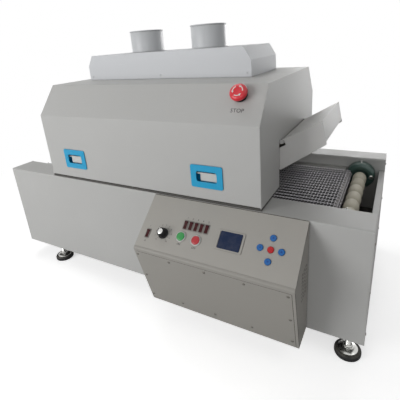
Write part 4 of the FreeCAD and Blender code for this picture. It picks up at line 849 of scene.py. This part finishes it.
def makeSeams():
    (coverD, coverH), (panelD, panelH) = slopes["cover"], slopes["panel"]
    shapes = cheekStrips(seams["coverEnds"], (coverH, -coverD))
    shapes += cheekStrips(seams["panelEnds"], (panelH, -panelD))
    wide, middle = console["right"] - console["left"], (console["left"] + console["right"]) / 2
    foot, fold, inset = seams["foot"], seams["fold"], seams["inset"]
    beside = onCover(console["right"] - inset, (foot + fold) / 2)
    shapes += [hairline(seams["hair"], (fold - foot) / coverH, beside),
               hairline(wide - 2 * inset, seams["foldHair"], onCover(middle, fold)),
               hairline(wide - seams["rimShort"], seams["wide"], onPanel(middle, seams["rimDown"]))]
    build("consoleSeamShadows", "cabinet", "sealRubber", shapes)


makeSeams()

# a dark sheet behind the vent slots of both cheeks: painted shade in the slots
ventShade = {"behind": 2.6, "d": -45.0, "h": 194.0, "width": 62.0, "height": 96.0, "thick": 0.5}


def makeGauze():
    sheet = block(ventShade["width"], ventShade["height"], low=-ventShade["thick"], high=0.0, radius=1.0, soft=0.1)
    places = [face("inlet", console["left"] + ventShade["behind"], ventShade["d"], ventShade["h"]),
              face("outlet", console["right"] - ventShade["behind"], ventShade["d"], ventShade["h"])]
    build("ventShadeSheet", "cabinet", "blackPlastic", [put(sheet, p) for p in places])


makeGauze()

# cable gland: a hexagon nut and a ribbed clamp ring on the back wall
gland = {"spot": (-600.0, 637.0, 80.0), "bore": 5.2, "nut": 16.0, "ring": 13.4, "ribs": 18}


def makeGland():
    where, bore, n, r = face("back", *gland["spot"]), gland["bore"], gland["nut"], gland["ring"]
    nut = spun([(bore, 0), (n - 1.4, 0), (n, 1), (n, 6), (n - 1.4, 7), (bore, 7)], 6, ring=True)
    clamp = spun([(bore, 6), (r - 0.9, 6.5), (r, 8), (r, 15), (r - 0.8, 18), (10, 21), (8, 22), (bore, 22)],
                 72, ring=True, flutes=gland["ribs"], depth=0.7)
    shapes = [put(nut, where), put(clamp, where)]
    build("cableGland", "cabinet", "blackPlastic", shapes, replaces=("power_inlet",))


makeGland()
print("seams, gauze and gland in place")

# floor and light: white paper that keeps the shadow near the oven and goes to plain white away from it
studio = {"spread": 14.0, "paper": tone(243, 243, 243), "sky": 0.15, "lift": 0.6, "shadowNear": 0.8,
          "shadowFar": 1.8, "oval": (0.85, 1.3, 1.0)}


def floorFinish():
    mat = bpy.data.materials.new("floorPaper")
    mat.use_nodes = True
    tree = mat.node_tree
    tree.nodes.clear()
    paper, lift, glow = (add(tree, "ShaderNode" + kind) for kind in ("BsdfDiffuse", "Emission", "Emission"))
    paper.inputs["Color"].default_value = studio["paper"]
    ray = add(tree, "ShaderNodeLightPath").outputs["Is Camera Ray"]
    feed(tree, maths(tree, "MULTIPLY", ray, studio["lift"]), lift.inputs["Strength"])
    where = stretched(tree, add(tree, "ShaderNodeTexCoord").outputs["Object"], studio["oval"])
    apart = add(tree, "ShaderNodeVectorMath", operation="LENGTH")
    feed(tree, where, apart.inputs[0])
    far = span(tree, apart.outputs["Value"], studio["shadowNear"], studio["shadowFar"])
    white = maths(tree, "MULTIPLY", far, ray)
    near, blend = add(tree, "ShaderNodeAddShader"), add(tree, "ShaderNodeMixShader")
    for source, target in ((paper.outputs[0], near.inputs[0]), (lift.outputs[0], near.inputs[1]),
                           (white, blend.inputs[0]), (near.outputs[0], blend.inputs[1]),
                           (glow.outputs[0], blend.inputs[2])):
        feed(tree, source, target)
    feed(tree, blend.outputs[0], add(tree, "ShaderNodeOutputMaterial").inputs["Surface"])
    return mat


def setFloor():
    half = studio["spread"]
    mesh = bpy.data.meshes.new("floor")
    corners = [(-half, -half, 0), (half, -half, 0), (half, half, 0), (-half, half, 0)]
    mesh.from_pydata(corners, [], [(0, 1, 2, 3)])
    mesh.materials.append(floorFinish())
    floor = bpy.data.objects.new("floor", mesh)
    bpy.context.scene.collection.objects.link(floor)


def setSky():  # white where the camera, a gloss or a glass sees it, and dim as a light
    world = bpy.data.worlds.new("studio")
    bpy.context.scene.world = world
    world.use_nodes = True
    sky = world.node_tree
    sky.nodes.clear()
    plain, white = add(sky, "ShaderNodeBackground"), add(sky, "ShaderNodeBackground")
    for background, strength in ((plain, studio["sky"]), (white, 1.0)):
        background.inputs["Color"].default_value = (1, 1, 1, 1)
        background.inputs["Strength"].default_value = strength
    rays = add(sky, "ShaderNodeLightPath").outputs
    mirrored = maths(sky, "MAXIMUM", rays["Is Glossy Ray"], rays["Is Transmission Ray"])
    seen = maths(sky, "MAXIMUM", rays["Is Camera Ray"], mirrored)
    pick = add(sky, "ShaderNodeMixShader")
    for place, source in enumerate((seen, plain.outputs[0], white.outputs[0])):
        feed(sky, source, pick.inputs[place])
    feed(sky, pick.outputs[0], add(sky, "ShaderNodeOutputWorld").inputs["Surface"])


# lamps, in metres and watts
lamps = {"keyLamp": {"from": (-1.8, -2.9, 1.3), "to": (-0.1, 0, 0.5), "size": 2.0, "power": 56.5},
         "frontLamp": {"from": (1.2, -3.0, 1.5), "to": (0.4, 0, 0.4), "size": 1.6, "power": 10.5},
         "sideLamp": {"from": (2.6, -0.5, 2.9), "to": (0.4, 0, 0.5), "size": 1.4, "power": 6.0},
         "backLamp": {"from": (0.6, 3.2, 0.95), "to": (0, 0, 0.4), "size": 2.0, "power": 40.0},
         "topLamp": {"from": (-1.0, 0.5, 3.2), "to": (-0.1, 0, 0.6), "size": 1.4, "power": 16.0}}


def setLamps():
    for name, lamp in lamps.items():
        data = bpy.data.lights.new(name, "AREA")
        data.size, data.energy = lamp["size"], lamp["power"]
        holder = bpy.data.objects.new(name, data)
        holder.location = lamp["from"]
        aim = Vector(lamp["to"]) - Vector(lamp["from"])
        holder.rotation_euler = aim.to_track_quat("-Z", "Y").to_euler()
        bpy.context.scene.collection.objects.link(holder)


setFloor()
setSky()
setLamps()
bpy.context.scene.view_settings.view_transform = "Standard"
print("floor and lamps set")
